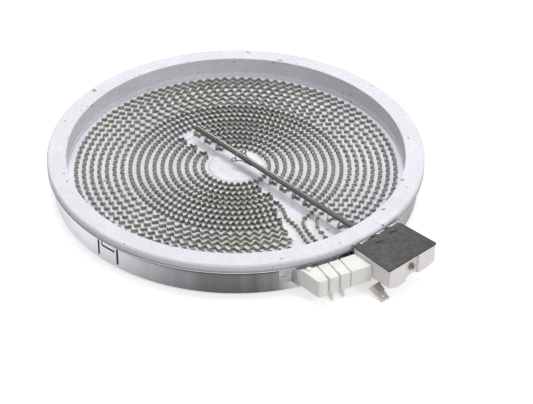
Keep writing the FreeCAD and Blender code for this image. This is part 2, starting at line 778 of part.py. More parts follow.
def bent_wire(name, points, radius):
    """A six-sided wire with mitred bends along a path."""
    frame = FreeCAD.Rotation(FreeCAD.Vector(0, 0, 1), points[1] - points[0])
    section = []
    for i in range(6):
        angle = math.radians(60 * i)
        corner = FreeCAD.Vector(radius * math.cos(angle), radius * math.sin(angle), 0)
        section.append(points[0] + frame.multVec(corner))
    sections = [section]
    for i in range(1, len(points)):
        ahead = (points[i] - points[i - 1]).normalize()
        after = (points[i + 1] - points[i]).normalize() if i + 1 < len(points) else ahead
        mitre = ahead + after
        share = ahead.dot(mitre)
        section = [corner + ahead * ((points[i] - corner).dot(mitre) / share) for corner in section]
        sections.append(section)
    loops = [sections[0][::-1], sections[-1]]
    for near, far in zip(sections, sections[1:]):
        for i in range(6):
            loops.append([near[i - 1], near[i], far[i], far[i - 1]])
    faces = [Part.Face(Part.makePolygon(loop + loop[:1])) for loop in loops]
    wire = doc.addObject("Part::Feature", name)
    wire.Shape = Part.Solid(Part.Shell(faces))
    return wire


def wire_clip():
    """Sprung wire clip: across the tube's top, a loop and a half at each side, and two arms."""
    thick = cell("clip_wire").value
    eye = cell("eyelet_radius").value
    side = rod_side.value
    over = cell("tube_radius").value + thick / 2 + 0.07
    top = rod_level.value + over
    start = over + 0.1
    pitch = thick + 0.1
    bends = 12
    loop = []
    for i in range(bends + 1):
        angle = math.radians(45 * i)
        away = start + pitch * (bends - i) / 8
        loop.append((-eye * math.sin(angle), away, top - eye - eye * math.cos(angle)))
    arm = cell("clip_arm").value
    foot = cell("dome_radius").value - 3 * cell("dome_edge").value
    points = [FreeCAD.Vector(arm, side + loop[0][1], loop[0][2])]
    points += [FreeCAD.Vector(x, side + away, z) for x, away, z in loop]
    points += [FreeCAD.Vector(x, side - away, z) for x, away, z in loop[::-1]]
    points.append(FreeCAD.Vector(foot, side - loop[0][1], loop[0][2]))
    points.append(FreeCAD.Vector(foot + thick, side - loop[0][1], dome_top.value + 0.05))
    node(bent_wire("clip", points, thick / 2), "centre_wire_clip")


def head_housing():
    """Ceramic housing of the limiter's switch: a box with a rounded belly, open at its top."""
    body = new_body("head")
    near = -cell("head_near_side")
    far = cell("head_far_side")
    low = head_bottom
    sag = cell("head_belly")
    face = head_face
    wall = cell("head_wall")
    split = near + (far - near) * 0.51
    points = [(near, plate_under)]
    for start, end, share in ((near, split, 1.0), (split, far, 0.6)):
        for i in range(6):
            across = i / 5
            drop = 4 * across * (1 - across) * share
            if start is split and i == 0:
                continue
            points.append((start + (end - start) * across, low - sag * drop))
    points.append((far, plate_under))
    profile = new_sketch(body, "YZ_Plane", "head_profile", face)
    outline(profile, points)
    pad(body, profile, cell("head_length"), "head_form")
    cavity = new_sketch(body, "XY_Plane", "head_cavity", plate_under)
    box_outline(cavity, face + wall, recess_face - 0.6 * wall, near + wall, far - wall)
    pocket(body, cavity, plate_under - head_floor, "head_cavity_cut")
    recess = new_sketch(body, "YZ_Plane", "head_recess", head_back)
    half = cell("recess_width") / 2
    box_outline(recess, cell("screw_side") - half, cell("screw_side") + half, low - sag, plate_under + 1)
    pocket(body, recess, cell("recess_depth"), "head_recess_cut")
    screw = new_sketch(body, "YZ_Plane", "head_screw_hole", head_back)
    ring_outline(screw, cell("screw_side"), screw_level, cell("screw_radius") + 0.15)
    pocket(body, screw, cell("recess_depth") + wall, "head_screw_cut")
    tube = new_sketch(body, "YZ_Plane", "head_tube_hole", face)
    ring_outline(tube, rod_side, rod_level, cell("tube_radius") + 0.15)
    pocket(body, tube, wall + 0.5, "head_tube_cut", reverse=True)
    link = new_sketch(body, "XZ_Plane", "head_link_slot", -near)
    box_outline(link, link_head_x() - 2.0, link_head_x() + 2.2, link_low - 0.3, link_high + 0.3)
    pocket(body, link, wall + 0.5, "head_link_cut")
    leg = new_sketch(body, "XY_Plane", "head_leg_slot", head_floor)
    box_outline(leg, tab_leg_x() - 0.3, tab_leg_x() + cell("blade_sheet") + 0.3, near + wall + 0.5,
                near + wall + 1.3 + cell("tab_leg_width"))
    pocket(body, leg, head_floor - low + sag + 1, "head_leg_cut")
    return node(body, "head_housing")


# Places inside the limiter's head

link_low = head_floor + cell("link_level")
link_high = link_low + cell("link_height")


def link_head_x():
    """Where the link from the terminal block passes the head's side."""
    bar = block_link_x() + cell("blade_sheet") / 2
    side = -cell("head_near_side")
    return (bar - side * sine(turn)) / cosine(turn)


def block_link_x():
    """Inner face of the link's bar in the terminal block."""
    return block_back + cell("link_inset")


def tab_leg_x():
    """Inner face of the spade tab's leg."""
    return head_face + cell("head_wall") + cell("switch_depth")


def cover_plate():
    """Sheet cover of the switch with two lanced tongues and clipped corners."""
    body = new_body("plate")
    near = -cell("head_near_side")
    far = cell("head_far_side")
    x0 = head_face
    x1 = head_back + 0.3
    flare = cell("plate_flare")
    clip = 1.6
    sketch = new_sketch(body, "XY_Plane", "plate_outline", plate_under)
    outline(sketch, [
        (x0, near + 0.2 + 0.4 * clip), (x0 + 0.4 * clip, near + 0.2), (x1 - 0.4 * clip, near - flare),
        (x1, near - flare + 0.4 * clip), (x1, far + flare - 0.6 * clip), (x1 - 0.6 * clip, far + flare),
        (x0 + clip, far - 0.6), (x0, far - 0.6 - clip)])
    pad(body, sketch, cell("plate_sheet"), "plate_form")
    tongues = new_sketch(body, "XY_Plane", "plate_tongues", plate_top)
    wide = cell("head_near_side") + far
    sheet_thick = cell("plate_sheet")
    for along, across, length in ((0.16, 0.33, 0.113), (0.106, 0.67, 0.134)):
        a = x0 + cell("head_length") * along
        b = near + wide * across
        run = wide * length
        outline(tongues, [
            (a, b), (a + sheet_thick, b), (a + 0.3 * run + sheet_thick, b + run), (a + 0.3 * run, b + run)])
    pad(body, tongues, 0.7, "plate_tongue_ridges")
    return node(body, "cover_plate")


def limiter_bracket():
    """Sheet bracket between the pan and the head, with ears, tabs and a hole for the tube."""
    sheet_thick = cell("bracket_sheet")
    x = bracket_face.value + sheet_thick.value / 2
    near = -cell("head_near_side").value + 0.9
    far = cell("head_far_side").value + 1.8
    radius = cell("pan_radius").value + 0.05
    path = [
        FreeCAD.Vector(math.sqrt(radius ** 2 - near ** 2), near, 0), FreeCAD.Vector(x, near, 0),
        FreeCAD.Vector(x, far, 0), FreeCAD.Vector(math.sqrt(radius ** 2 - far ** 2) + 0.3, far, 0)]
    frame = standing_sheet("bracket_frame", path, sheet_thick, head_bottom,
                           under_lip - head_bottom)
    face = bracket_face
    near = -cell("head_near_side") + 0.9 - sheet_thick / 2
    far = cell("head_far_side") + 1.8 + sheet_thick / 2
    base = under_lip - 1
    top = bracket_top
    wall = block_of("bracket_wall", face, face + sheet_thick, near, far, base, top)
    pieces = [frame, wall]
    for name, y0 in (("near", near), ("far", far - 1.6)):
        pieces.append(block_of("bracket_ear_" + name, face, face + sheet_thick, y0, y0 + 1.6,
                               top - 0.5, top + cell("ear_rise")))
    wide = far - near
    for i, share in enumerate((0.136, 0.478, 0.758)):
        start = near + wide * share
        pieces.append(block_of("bracket_tab_%d" % i, face, head_face, start, start + cell("bracket_tab"),
                               top - 0.6, top))
    whole = join("bracket_whole", pieces)
    windows = []
    for i, share in enumerate((0.051, 0.635)):
        start = near + wide * share
        windows.append(block_of("bracket_window_%d" % i, face - 1, face + sheet_thick + 1, start,
                                start + cell("bracket_opening"), cell("pan_height") + 0.6, top + 1))
    reach = cell("tube_radius") + cell("tube_room")
    hole = rod_along_x("bracket_hole", face - 1, 4, reach, rod_side, rod_level)
    notch = block_of("bracket_notch", face - 1, face + 3, rod_side - reach, rod_side + reach,
                     rod_level, top + 1)
    openings = join("bracket_openings", windows + [hole, notch])
    node(cut("bracket", whole, openings), "limiter_bracket")


def calibration():
    """Calibrating screw in the head's outer wall, and its lock nut."""
    y = cell("screw_side")
    z = screw_level
    nut_length = cell("nut_length")
    inside = cell("head_wall") + cell("thread_inside")
    screw = rod_along_x("screw", recess_face - inside, inside + nut_length + cell("thread_end"),
                        cell("screw_radius"), y, z)
    node(screw, "calibrating_screw")
    hexagon = doc.addObject("Part::Prism", "nut_body")
    hexagon.Polygon = 6
    bind(hexagon, "Circumradius", cell("nut_radius"))
    bind(hexagon, "Height", nut_length)
    hexagon.Placement = FreeCAD.Placement(
        FreeCAD.Vector(0, 0, 0), FreeCAD.Rotation(FreeCAD.Vector(0, 1, 0), 90))
    place(hexagon, recess_face, y, z)
    bore = rod_along_x("nut_bore", recess_face - 1, nut_length + 2, cell("screw_radius") + 0.05, y, z)
    node(cut("nut", hexagon, bore), "lock_nut")


def switch_parts(pin_end):
    """Inside the head: the sprung blade, its post, both contacts and the strip from the link."""
    near = -cell("head_near_side") + cell("head_wall")
    floor = head_floor
    roof = plate_under - 0.6
    post_x = pin_end + cell("spring_sheet")
    post_y = near + cell("post_place")
    post_end = post_y + cell("post_width")
    post = block_of("post", post_x, tab_leg_x(), post_y, post_end, floor, roof)
    node(post, "spring_post")
    half = cell("spring_width") / 2
    contact_y = near + cell("contact_place")
    radius = cell("contact_radius")
    spring = block_of("spring", pin_end, post_x, contact_y - radius - 1, post_end,
                      rod_level - half, rod_level + half)
    node(spring, "switch_spring")
    rise = cell("contact_height")
    moving = rod_along_x("moving", post_x, rise, radius, contact_y, rod_level)
    node(moving, "moving_contact")
    fixed = rod_along_x("fixed", post_x + rise, rise, radius, contact_y, rod_level)
    node(fixed, "fixed_contact")
    thick = cell("blade_sheet")
    strip_x = post_x + 2 * rise
    strip_y = near + 0.2
    upright = block_of("strip_upright", strip_x, strip_x + thick, strip_y, contact_y + radius + 0.4,
                       floor, roof)
    runner = block_of("strip_runner", link_head_x() - thick, strip_x + thick / 2, strip_y,
                      strip_y + thick, link_low, link_high)
    node(join("strip", [upright, runner]), "contact_strip")


def spade_tab():
    """The limiter's own spade terminal: a leg through the head's floor and a sloping blade."""
    body = new_body("tab")
    near = -cell("head_near_side")
    leg = tab_leg_x()
    thick = cell("blade_sheet")
    width = cell("blade_width")
    leg_top = head_floor + 2.2
    slope = cell("tab_slope")
    drop = cell("tab_length") * sine(slope)
    run = cell("tab_length") * cosine(slope)
    fall = sine(slope) / cosine(slope)
    over = thick / cosine(slope)
    bend = cell("tab_tip") + over + drop
    inner_side = near + cell("head_wall") + 0.9
    blade_side = near + cell("tab_inset")

    def sloping(start_y, length, across, name):
        """A strip of the tab on its slope, from a place sideways towards -Y."""
        profile = new_sketch(body, "XZ_Plane", name + "_side", -start_y)
        outline(profile, [
            (leg, bend), (leg, bend - over), (leg + length, bend - over - length * fall),
            (leg + length, bend - length * fall)])
        pad(body, profile, across, name)

    side = new_sketch(body, "XZ_Plane", "tab_leg_side", -inner_side)
    box_outline(side, leg, leg + thick, bend - over / 2, leg_top)
    pad(body, side, cell("tab_leg_width"), "tab_leg", reverse=True)
    sloping(inner_side + cell("tab_leg_width"), thick, cell("tab_leg_width") + 1, "tab_bend")
    sloping(blade_side, run, width, "tab_blade")
    sloping(inner_side + 0.1, cell("tab_shoulder") * cosine(slope), width + 1.6, "tab_root")
    hole = new_sketch(body, "XY_Plane", "tab_hole", bend)
    ring_outline(hole, leg + 0.76 * run, blade_side - width / 2, cell("tab_hole"))
    pocket(body, hole, bend + 1, "tab_hole_cut")
    return node(body, "limiter_spade_tab")


# Pieces laid out along +X and turned to the terminal block's direction

def beside_head(x):
    """Sideways place, in the block's directions, of the line along the head's near side."""
    side = -cell("head_near_side") - cell("block_side_gap")
    return (side - x * sine(turn)) / cosine(turn)


def terminal_block():
    """Ceramic block: slots in its top, mouths in its front, channels for blades and link."""
    body = new_body("block")
    back = block_back
    left = -cell("block_left")
    slant = cell("block_slant")
    heel = cell("block_heel")
    low = block_bottom
    sketch = new_sketch(body, "XY_Plane", "block_outline", low)
    outline(sketch, [
        (back, left - slant + 2 * heel), (back - heel, left - slant), (block_front - 1.6, left - 0.4),
        (block_front - 0.4, left + 0.2), (block_front, left + 1.6), (block_front, beside_head(block_front)),
        (back, beside_head(back))])
    pad(body, sketch, cell("block_height"), "block_form")
    slots = new_sketch(body, "XY_Plane", "block_slots", block_top)
    mouths = new_sketch(body, "XY_Plane", "block_mouths", block_top)
    flares = new_sketch(body, "YZ_Plane", "block_flares", block_front)
    half = cell("slot_width") / 2
    gape = cell("mouth_width") / 2
    for i in range(SLOTS):
        middle = cell("slot_first") + i * cell("slot_pitch")
        box_outline(slots, back - heel - 1, block_front + 1, middle - half, middle + half)
    for i in range(SLOTS - 1):
        middle = cell("slot_first") + i * cell("slot_pitch")
        box_outline(mouths, block_front - cell("mouth_depth"), block_front + 1,
                    middle - gape, middle + gape)
        outline(flares, [
            (middle, low - 0.5), (middle + gape + 1.7, low - 0.5), (middle + gape + 1.2, low + 1.2),
            (middle, low + 3.4)])
    last = cell("slot_first") + (SLOTS - 1) * cell("slot_pitch")
    box_outline(mouths, block_front - cell("slot_depth"), block_front + 1, last - half, last + half)
    pocket(body, slots, cell("slot_depth"), "block_slots_cut")
    pocket(body, mouths, cell("block_height"), "block_mouths_cut")
    pocket(body, flares, cell("mouth_depth"), "block_flares_cut")
    room = cell("blade_room")
    thick = cell("blade_sheet") / 2 + room
    channels = new_sketch(body, "XY_Plane", "block_channels", lead_top + room)
    tails = new_sketch(body, "YZ_Plane", "block_tails", back - heel)
    for middle in blade_places:
        box_outline(channels, blade_in - room, blade_out + room, middle - thick, middle + thick)
        box_outline(tails, middle - thick - cell("ribbon_sheet"), middle + thick,
                    cell("floor_height") - room, lead_top + room)
    pocket(body, channels, lead_top + room - low, "block_channels_cut")
    pocket(body, tails, blade_in - back + heel, "block_tails_cut", reverse=True)
    chamber = new_sketch(body, "YZ_Plane", "block_chamber", back - heel)
    depth = cell("chamber_depth")
    box_outline(chamber, link_places[0] - cell("chamber_room"), beside_head(back) + depth,
                cell("floor_height") - 0.4, link_high + 0.5)
    pocket(body, chamber, heel + depth, "block_chamber_cut", reverse=True)
    knob = new_sketch(body, "XY_Plane", "block_knob", block_top)
    ring_outline(knob, back + 0.6, left + 0.6, cell("knob_radius"))
    pad(body, knob, 0.9, "block_knob_rise")
    turn_to_block(body)
    return node(body, "terminal_block")


def terminal_blades():
    """Two spade blades with tails that reach through the strap and the pan to the leads."""
    low = cell("floor_height") + 0.2
    tip = cell("blade_tip")
    tail_start = rim_radius + 1.2
    names = ("outer_circuit_blade", "inner_circuit_blade")
    for name, middle in zip(names, blade_places):
        body = new_body(name)
        side = new_sketch(body, "XZ_Plane", name + "_side", -middle)
        outline(side, [
            (tail_start, low), (blade_in, low), (blade_in, tip + 1.2), (blade_in + 1, tip),
            (blade_out - 1, tip), (blade_out, tip + 1.2), (blade_out, lead_top), (tail_start, lead_top)])
        ring_outline(side, (blade_in + blade_out) / 2, tip + 3.2, 0.8)
        pad(body, side, cell("blade_sheet"), name + "_form", middle=True)
        turn_to_block(body)
        node(body, name)


def common_link():
    """Strip that joins both circuits' common leads and carries them into the limiter's head."""
    body = new_body("link")
    thick = cell("blade_sheet") / 2
    bar_in = block_link_x()
    bar_out = bar_in + cell("blade_sheet")
    tails = new_sketch(body, "XY_Plane", "link_tails", cell("floor_height") + 0.2)
    for middle in link_places:
        box_outline(tails, rim_radius + 1.2, bar_in + 0.2, middle - thick, middle + thick)
    bar = new_sketch(body, "XY_Plane", "link_bar", cell("floor_height") + 0.2)
    end = beside_head(bar_in) - 0.6
    box_outline(bar, bar_in, bar_out, link_places[0] - thick, end)
    pad(body, bar, link_high - cell("floor_height") - 0.2, "link_bar_form")
    pad(body, tails, cell("ribbon_width") - 0.2, "link_tails_form")
    tongue = new_sketch(body, "XY_Plane", "link_tongue", link_low)
    inside = (cell("head_wall") + 0.1 + cell("block_side_gap")) / cosine(turn)
    box_outline(tongue, bar_in, bar_out, end - 1, end + 0.6 + inside)
    pad(body, tongue, link_high - link_low, "link_tongue_form")
    turn_to_block(body)
    return node(body, "common_link")


def block_strap():
    """Sheet strap that is riveted to the pan's wall and carries the terminal block."""
    thick = cell("strap_sheet")
    wall = cell("pan_radius").value + thick.value / 2 + 0.05
    back = block_back.value - thick.value / 2
    left = -cell("block_left").value - cell("block_slant").value
    heel = cell("block_heel").value
    turn_in = math.degrees(math.asin((left - 2) / wall))
    foot = math.degrees(cell("strap_foot").value / wall)
    right = window_high.value + 0.4
    wall_x = math.sqrt(cell("pan_radius").value ** 2 - right ** 2)
    path = [
        polar(wall, turn_in - foot), polar(wall, turn_in - foot / 2), polar(wall, turn_in),
        FreeCAD.Vector(back - heel - 1.0, left - 0.8, 0), FreeCAD.Vector(back - heel + 0.1, left + 0.9, 0),
        FreeCAD.Vector(back, left + 2 * heel + 0.6, 0), FreeCAD.Vector(back, right, 0),
        FreeCAD.Vector(wall_x + 0.1, right, 0)]
    low = strap_low
    strap = standing_sheet("strap_sheet_form", path, thick, low, under_lip - low)
    window = block_of("strap_window", back - 2, back + 2, window_low, window_high - 1.0,
                      cell("floor_height") - 0.2, lead_top + 0.4)
    strap = cut("strap", strap, window)
    turn_to_block(strap)
    node(strap, "block_strap")
    heads = []
    for i, share in enumerate((0.3, 0.7)):
        angle = turn + as_size(turn_in - 0.75 * foot)
        height = low + (cell("pan_height") - low) * share
        reach = cell("pan_radius") + thick + 0.05
        head = doc.addObject("Part::Cylinder", "rivet_%d" % i)
        bind(head, "Radius", cell("rivet_radius"))
        bind(head, "Height", cell("rivet_rise"))
        head.Placement = FreeCAD.Placement(FreeCAD.Vector(0, 0, 0), FreeCAD.Rotation(
            FreeCAD.Vector(0, 0, 1), polar(1, angle.value)))
        place(head, reach * cosine(angle), reach * sine(angle), height)
        heads.append(head)
    rivets = doc.addObject("Part::Compound", "rivets")
    rivets.Links = heads
    node(rivets, "strap_rivets")


pan()
insulation_base()
insulation_ring()
heating_ribbons()
pin_end = limiter_tube_set()
wire_clip()
head_housing()
cover_plate()
limiter_bracket()
calibration()
switch_parts(pin_end)
spade_tab()
terminal_block()
terminal_blades()
common_link()
block_strap()
doc.recompute()

# Every object and every piece is checked before anything is written

for thing in doc.Objects:
    if "Invalid" in thing.State or "Error" in thing.State:
        raise RuntimeError("%s failed: %s" % (thing.Name, thing.State))
for name, thing in NODES:
    if thing.Shape.isNull() or not thing.Shape.isValid():
        raise RuntimeError("%s has no valid shape" % name)
os.makedirs("parts", exist_ok=True)
for name, thing in NODES:
    thing.Shape.exportStep("parts/%s.step" % name)
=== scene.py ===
import math

import bpy
from bpy.props import FloatProperty, FloatVectorProperty, IntProperty, PointerProperty
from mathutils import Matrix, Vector


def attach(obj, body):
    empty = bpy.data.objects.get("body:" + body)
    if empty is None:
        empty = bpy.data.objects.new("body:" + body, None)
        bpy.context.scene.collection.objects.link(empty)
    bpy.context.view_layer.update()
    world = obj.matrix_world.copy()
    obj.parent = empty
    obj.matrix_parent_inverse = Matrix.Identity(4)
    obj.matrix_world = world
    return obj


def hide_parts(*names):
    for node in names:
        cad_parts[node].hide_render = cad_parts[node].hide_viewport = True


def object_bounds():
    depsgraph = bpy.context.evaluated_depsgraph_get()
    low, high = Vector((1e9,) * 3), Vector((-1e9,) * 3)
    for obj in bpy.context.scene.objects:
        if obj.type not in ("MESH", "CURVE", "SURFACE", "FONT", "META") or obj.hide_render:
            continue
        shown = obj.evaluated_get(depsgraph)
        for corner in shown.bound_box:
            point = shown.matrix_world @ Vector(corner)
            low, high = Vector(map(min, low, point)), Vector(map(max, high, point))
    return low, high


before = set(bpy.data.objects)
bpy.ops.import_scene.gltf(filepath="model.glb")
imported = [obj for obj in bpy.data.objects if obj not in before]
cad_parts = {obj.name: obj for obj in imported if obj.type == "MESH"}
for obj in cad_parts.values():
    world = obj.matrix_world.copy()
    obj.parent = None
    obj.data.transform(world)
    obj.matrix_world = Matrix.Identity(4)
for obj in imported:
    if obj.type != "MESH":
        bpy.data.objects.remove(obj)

CAD_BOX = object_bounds()

bl_info = {
    "name": "Radiant hob element",
    "version": (1, 0, 0),
    "blender": (4, 5, 0),
    "location": "3D View > Sidebar > Element",
    "description": "Finishes and fine pieces of a two-circuit radiant hob element",
    "category": "Object",
}

MM = 0.001
PAN_RADIUS = 111.4
SCALE_TOP = 24


# Sizes and colours that a user would change

class ElementSizes(bpy.types.PropertyGroup):
    """Lengths of the ribbons' waves, the clip's wire and the edges' rounding."""

    inner_wave: FloatProperty(
        name="Inner wave", description="Length of one wave of the inner circuit's ribbon",
        default=3.6 * MM, unit="LENGTH")
    outer_wave: FloatProperty(
        name="Outer wave", description="Length of one wave of the outer circuit's ribbon",
        default=5.55 * MM, unit="LENGTH")
    inner_depth: FloatProperty(
        name="Inner depth", description="Depth of the inner ribbon's waves from crest to crest",
        default=2.4 * MM, unit="LENGTH")
    outer_depth: FloatProperty(
        name="Outer depth", description="Depth of the outer ribbon's waves from crest to crest",
        default=2.6 * MM, unit="LENGTH")
    inner_height: FloatProperty(
        name="Inner height", description="Height of the inner ribbon over the floor that holds it",
        default=2.9 * MM, unit="LENGTH")
    outer_height: FloatProperty(
        name="Outer height", description="Height of the outer ribbon over the floor that holds it",
        default=2.6 * MM, unit="LENGTH")
    strip_thickness: FloatProperty(
        name="Strip thickness", description="Thickness of the ribbons",
        default=0.12 * MM, unit="LENGTH")
    edge_round: FloatProperty(
        name="Edge rounding", description="Rounding of the sheet pieces' edges",
        default=0.12 * MM, unit="LENGTH")
    ceramic_round: FloatProperty(
        name="Ceramic rounding", description="Rounding of the ceramic pieces' edges",
        default=0.5 * MM, unit="LENGTH")
    wire_thickness: FloatProperty(
        name="Wire thickness", description="Diameter of the clip's wire",
        default=0.8 * MM, unit="LENGTH")
    wave_steps: IntProperty(
        name="Steps in a wave", description="Corners that draw one wave of a ribbon",
        default=10, min=4)


class ElementColours(bpy.types.PropertyGroup):
    """Colours of the element's finishes."""

    insulation: FloatVectorProperty(
        name="Insulation", description="Pressed insulating ring", subtype="COLOR",
        default=(0.80, 0.80, 0.86))
    base: FloatVectorProperty(
        name="Base", description="Floor that carries the ribbons", subtype="COLOR",
        default=(0.84, 0.85, 0.91))
    pan: FloatVectorProperty(
        name="Pan", description="Sheet steel pan", subtype="COLOR", default=(0.50, 0.51, 0.53))
    ribbon: FloatVectorProperty(
        name="Ribbon", description="Heating ribbon", subtype="COLOR",
        default=(0.235, 0.225, 0.21))
    block: FloatVectorProperty(
        name="Block", description="Ceramic of the terminal block", subtype="COLOR",
        default=(0.84, 0.86, 0.81))
    head: FloatVectorProperty(
        name="Head", description="Ceramic of the limiter's head", subtype="COLOR",
        default=(0.86, 0.82, 0.82))
    plate: FloatVectorProperty(
        name="Cover plate", description="Dark sheet cover of the limiter's head", subtype="COLOR",
        default=(0.054, 0.054, 0.051))
    terminal: FloatVectorProperty(
        name="Terminals", description="Plated steel of the blades and tabs", subtype="COLOR",
        default=(0.52, 0.48, 0.44))
    tube: FloatVectorProperty(
        name="Tube", description="Tube of the limiter", subtype="COLOR",
        default=(0.15, 0.14, 0.137))


def sizes():
    """The sizes as they are set now."""
    return bpy.context.scene.element_sizes


def colours():
    """The colours as they are set now."""
    return bpy.context.scene.element_colours


# Finishes, each a node material on Object coordinates

def finish_base(name):
    """A new node material with its shader, its coordinates and its links."""
    material = bpy.data.materials.new(name)
    material.use_nodes = True
    tree = material.node_tree
    shader = tree.nodes["Principled BSDF"]
    place = tree.nodes.new("ShaderNodeTexCoord")
    return material, tree, shader, place.outputs["Object"]


def noise(tree, coordinates, scale, detail=4.0, rough=0.55):
    """A noise pattern with a given number of grains in a metre."""
    node = tree.nodes.new("ShaderNodeTexNoise")
    node.inputs["Scale"].default_value = scale
    node.inputs["Detail"].default_value = detail
    node.inputs["Roughness"].default_value = rough
    tree.links.new(coordinates, node.inputs["Vector"])
    return node.outputs["Fac"]


def ramp(tree, value, stops):
    """Colours between stops along a value."""
    node = tree.nodes.new("ShaderNodeValToRGB")
    band = node.color_ramp
    while len(band.elements) < len(stops):
        band.elements.new(0.5)
    for element, (position, colour) in zip(band.elements, stops):
        element.position = position
        element.color = (*colour, 1.0)
    tree.links.new(value, node.inputs["Fac"])
    return node.outputs["Color"]


def blend_colours(tree, share, first, second):
    """A mix of two colours by a share."""
    node = tree.nodes.new("ShaderNodeMix")
    node.data_type = "RGBA"
    tree.links.new(share, node.inputs["Factor"])
    for socket, colour in ((node.inputs[6], first), (node.inputs[7], second)):
        if isinstance(colour, bpy.types.NodeSocket):
            tree.links.new(colour, socket)
        else:
            socket.default_value = (*colour, 1.0)
    return node.outputs[2]


def feed(tree, value, socket):
    """Puts a number or another node's output into a socket."""
    if isinstance(value, bpy.types.NodeSocket):
        tree.links.new(value, socket)
    else:
        socket.default_value = value


def calculate(tree, operation, *values):
    """One step of arithmetic on numbers and outputs."""
    node = tree.nodes.new("ShaderNodeMath")
    node.operation = operation
    for value, socket in zip(values, node.inputs):
        feed(tree, value, socket)
    return node.outputs[0]


def stretched(tree, place, scale, turn=0.0):
    """Coordinates drawn out by a scale for each axis and turned round Z."""
    node = tree.nodes.new("ShaderNodeMapping")
    node.inputs["Scale"].default_value = scale
    node.inputs["Rotation"].default_value = (0.0, 0.0, math.radians(turn))
    tree.links.new(place, node.inputs["Vector"])
    return node.outputs[0]


def greys(start, end, least, most):
    """Stops of a ramp that goes from one grey to another."""
    return [(start, (least,) * 3), (end, (most,) * 3)]


def add_bump(tree, shader, height, strength, distance):
    """Fine relief from a height pattern."""
    node = tree.nodes.new("ShaderNodeBump")
    node.inputs["Strength"].default_value = strength
    node.inputs["Distance"].default_value = distance
    tree.links.new(height, node.inputs["Height"])
    tree.links.new(node.outputs["Normal"], shader.inputs["Normal"])


def shade(colour, factor):
    """A lighter or darker tone of a colour."""
    return tuple(min(1.0, part * factor) for part in colour)


# Radius in millimetres beyond which the insulating ring's surface is its outer side

OUTER_SIDE = 112.0


def height_mask(tree, place, stops):
    """Greys by height over the pan's underside; stops are heights in millimetres and greys."""
    split = tree.nodes.new("ShaderNodeSeparateXYZ")
    tree.links.new(place, split.inputs[0])
    share = calculate(tree, "DIVIDE", split.outputs["Z"], SCALE_TOP * MM)
    return ramp(tree, share, [(height / SCALE_TOP, (grey,) * 3) for height, grey in stops])


def outside_mask(tree, place):
    """One on the insulating ring's outer side and nothing elsewhere."""
    flat = tree.nodes.new("ShaderNodeVectorMath")
    flat.operation = "MULTIPLY"
    flat.inputs[1].default_value = (1.0, 1.0, 0.0)
    tree.links.new(place, flat.inputs[0])
    reach = tree.nodes.new("ShaderNodeVectorMath")
    reach.operation = "LENGTH"
    tree.links.new(flat.outputs[0], reach.inputs[0])
    return calculate(tree, "GREATER_THAN", reach.outputs["Value"], OUTER_SIDE * MM)


def pressed_insulation(name, colour, specks, relief, painted_shade=0.0):
    """Pressed fibre and powder: matt, softly clouded, finely grained, with a few dark specks.

    The more painted shade, the darker the shade painted on the foot of its outer side.
    """
    material, tree, shader, place = finish_base(name)
    cloud = noise(tree, place, 45.0, 5.0)
    tone = ramp(tree, cloud, [
        (0.3, shade(colour, 0.93)), (0.55, colour), (0.72, shade(colour, 1.04))])
    wool = ramp(tree, noise(tree, place, 520.0, 6.0, 0.7), greys(0.36, 0.5, 1, 0))
    tone = blend_colours(tree, wool, tone, shade(colour, 0.88))
    dots = ramp(tree, noise(tree, place, 240.0, 1.0), greys(specks, specks + 0.02, 0, 1))
    tone = blend_colours(tree, dots, tone, shade(colour, 0.42))
    # Painted shade: the ring's outer side darkens towards its foot, just above the pan's lip.
    rim = height_mask(tree, place, [
        (18.9, painted_shade), (20.2, 0.3 * painted_shade), (23.0, 0.1 * painted_shade), (23.4, 0.0)])
    painted_foot_shade = calculate(tree, "MULTIPLY", rim, outside_mask(tree, place))
    tone = blend_colours(tree, painted_foot_shade, tone, shade(colour, 0.3))
    tree.links.new(tone, shader.inputs["Base Color"])
    shader.inputs["Roughness"].default_value = 0.95
    shader.inputs["Specular IOR Level"].default_value = 0.12
    add_bump(tree, shader, noise(tree, place, 1100.0, 8.0, 0.75), relief, 0.0006)
    return material


def sheet_steel(name, colour, rough, clouds, metallic=0.9):
    """Rolled sheet: metal with soft blotches and fine grain."""
    material, tree, shader, place = finish_base(name)
    tone = ramp(tree, noise(tree, place, clouds, 5.0), [
        (0.3, shade(colour, 0.78)), (0.55, colour), (0.75, shade(colour, 1.2))])
    tree.links.new(tone, shader.inputs["Base Color"])
    shader.inputs["Metallic"].default_value = metallic
    roughness = ramp(tree, noise(tree, place, 90.0, 4.0),
                     greys(0.3, 0.7, rough - 0.08, rough + 0.12))
    tree.links.new(roughness, shader.inputs["Roughness"])
    add_bump(tree, shader, noise(tree, place, 900.0, 4.0), 0.12, 0.0002)
    return material


# Painted reflections on the drawn pan's wall, lighter and darker round its axis: angle in degrees
# and tone

PAN_PAINTED_REFLECTIONS = [
    (-180, 0.62), (-150, 0.9), (-124, 1.35), (-96, 1.5), (-82, 1.2), (-70, 0.74), (-60, 0.45),
    (-50, 0.25), (-36, 0.23), (-30, 0.36), (-25, 1.35), (-14, 1.35), (6, 0.9), (28, 0.5), (50, 0.8),
    (74, 1.2), (98, 0.5), (122, 0.38), (148, 0.95), (168, 0.7), (180, 0.62),
]

# Painted shade in the cuts of the sprung tongue: angle in degrees, then height, half width and half
# height

CUT_SHADE_SPOTS = [
    (-87.74, 9.9, 0.8, 6.6), (-79.97, 9.9, 0.8, 6.6), (-86.3, 13.6, 0.6, 2.2),
    (-83.66, 11.45, 5.1, 0.7),
]


def cut_shade_mask(tree, angle, height):
    """One where shade is painted in the cuts of the pan's wall and nothing elsewhere."""
    total = 0.0
    for degrees, level, half_width, half_height in CUT_SHADE_SPOTS:
        beside = calculate(tree, "COMPARE", angle, math.radians(degrees), half_width / PAN_RADIUS)
        along = calculate(tree, "COMPARE", height, level * MM, half_height * MM)
        total = calculate(tree, "MAXIMUM", total, calculate(tree, "MULTIPLY", beside, along))
    return total


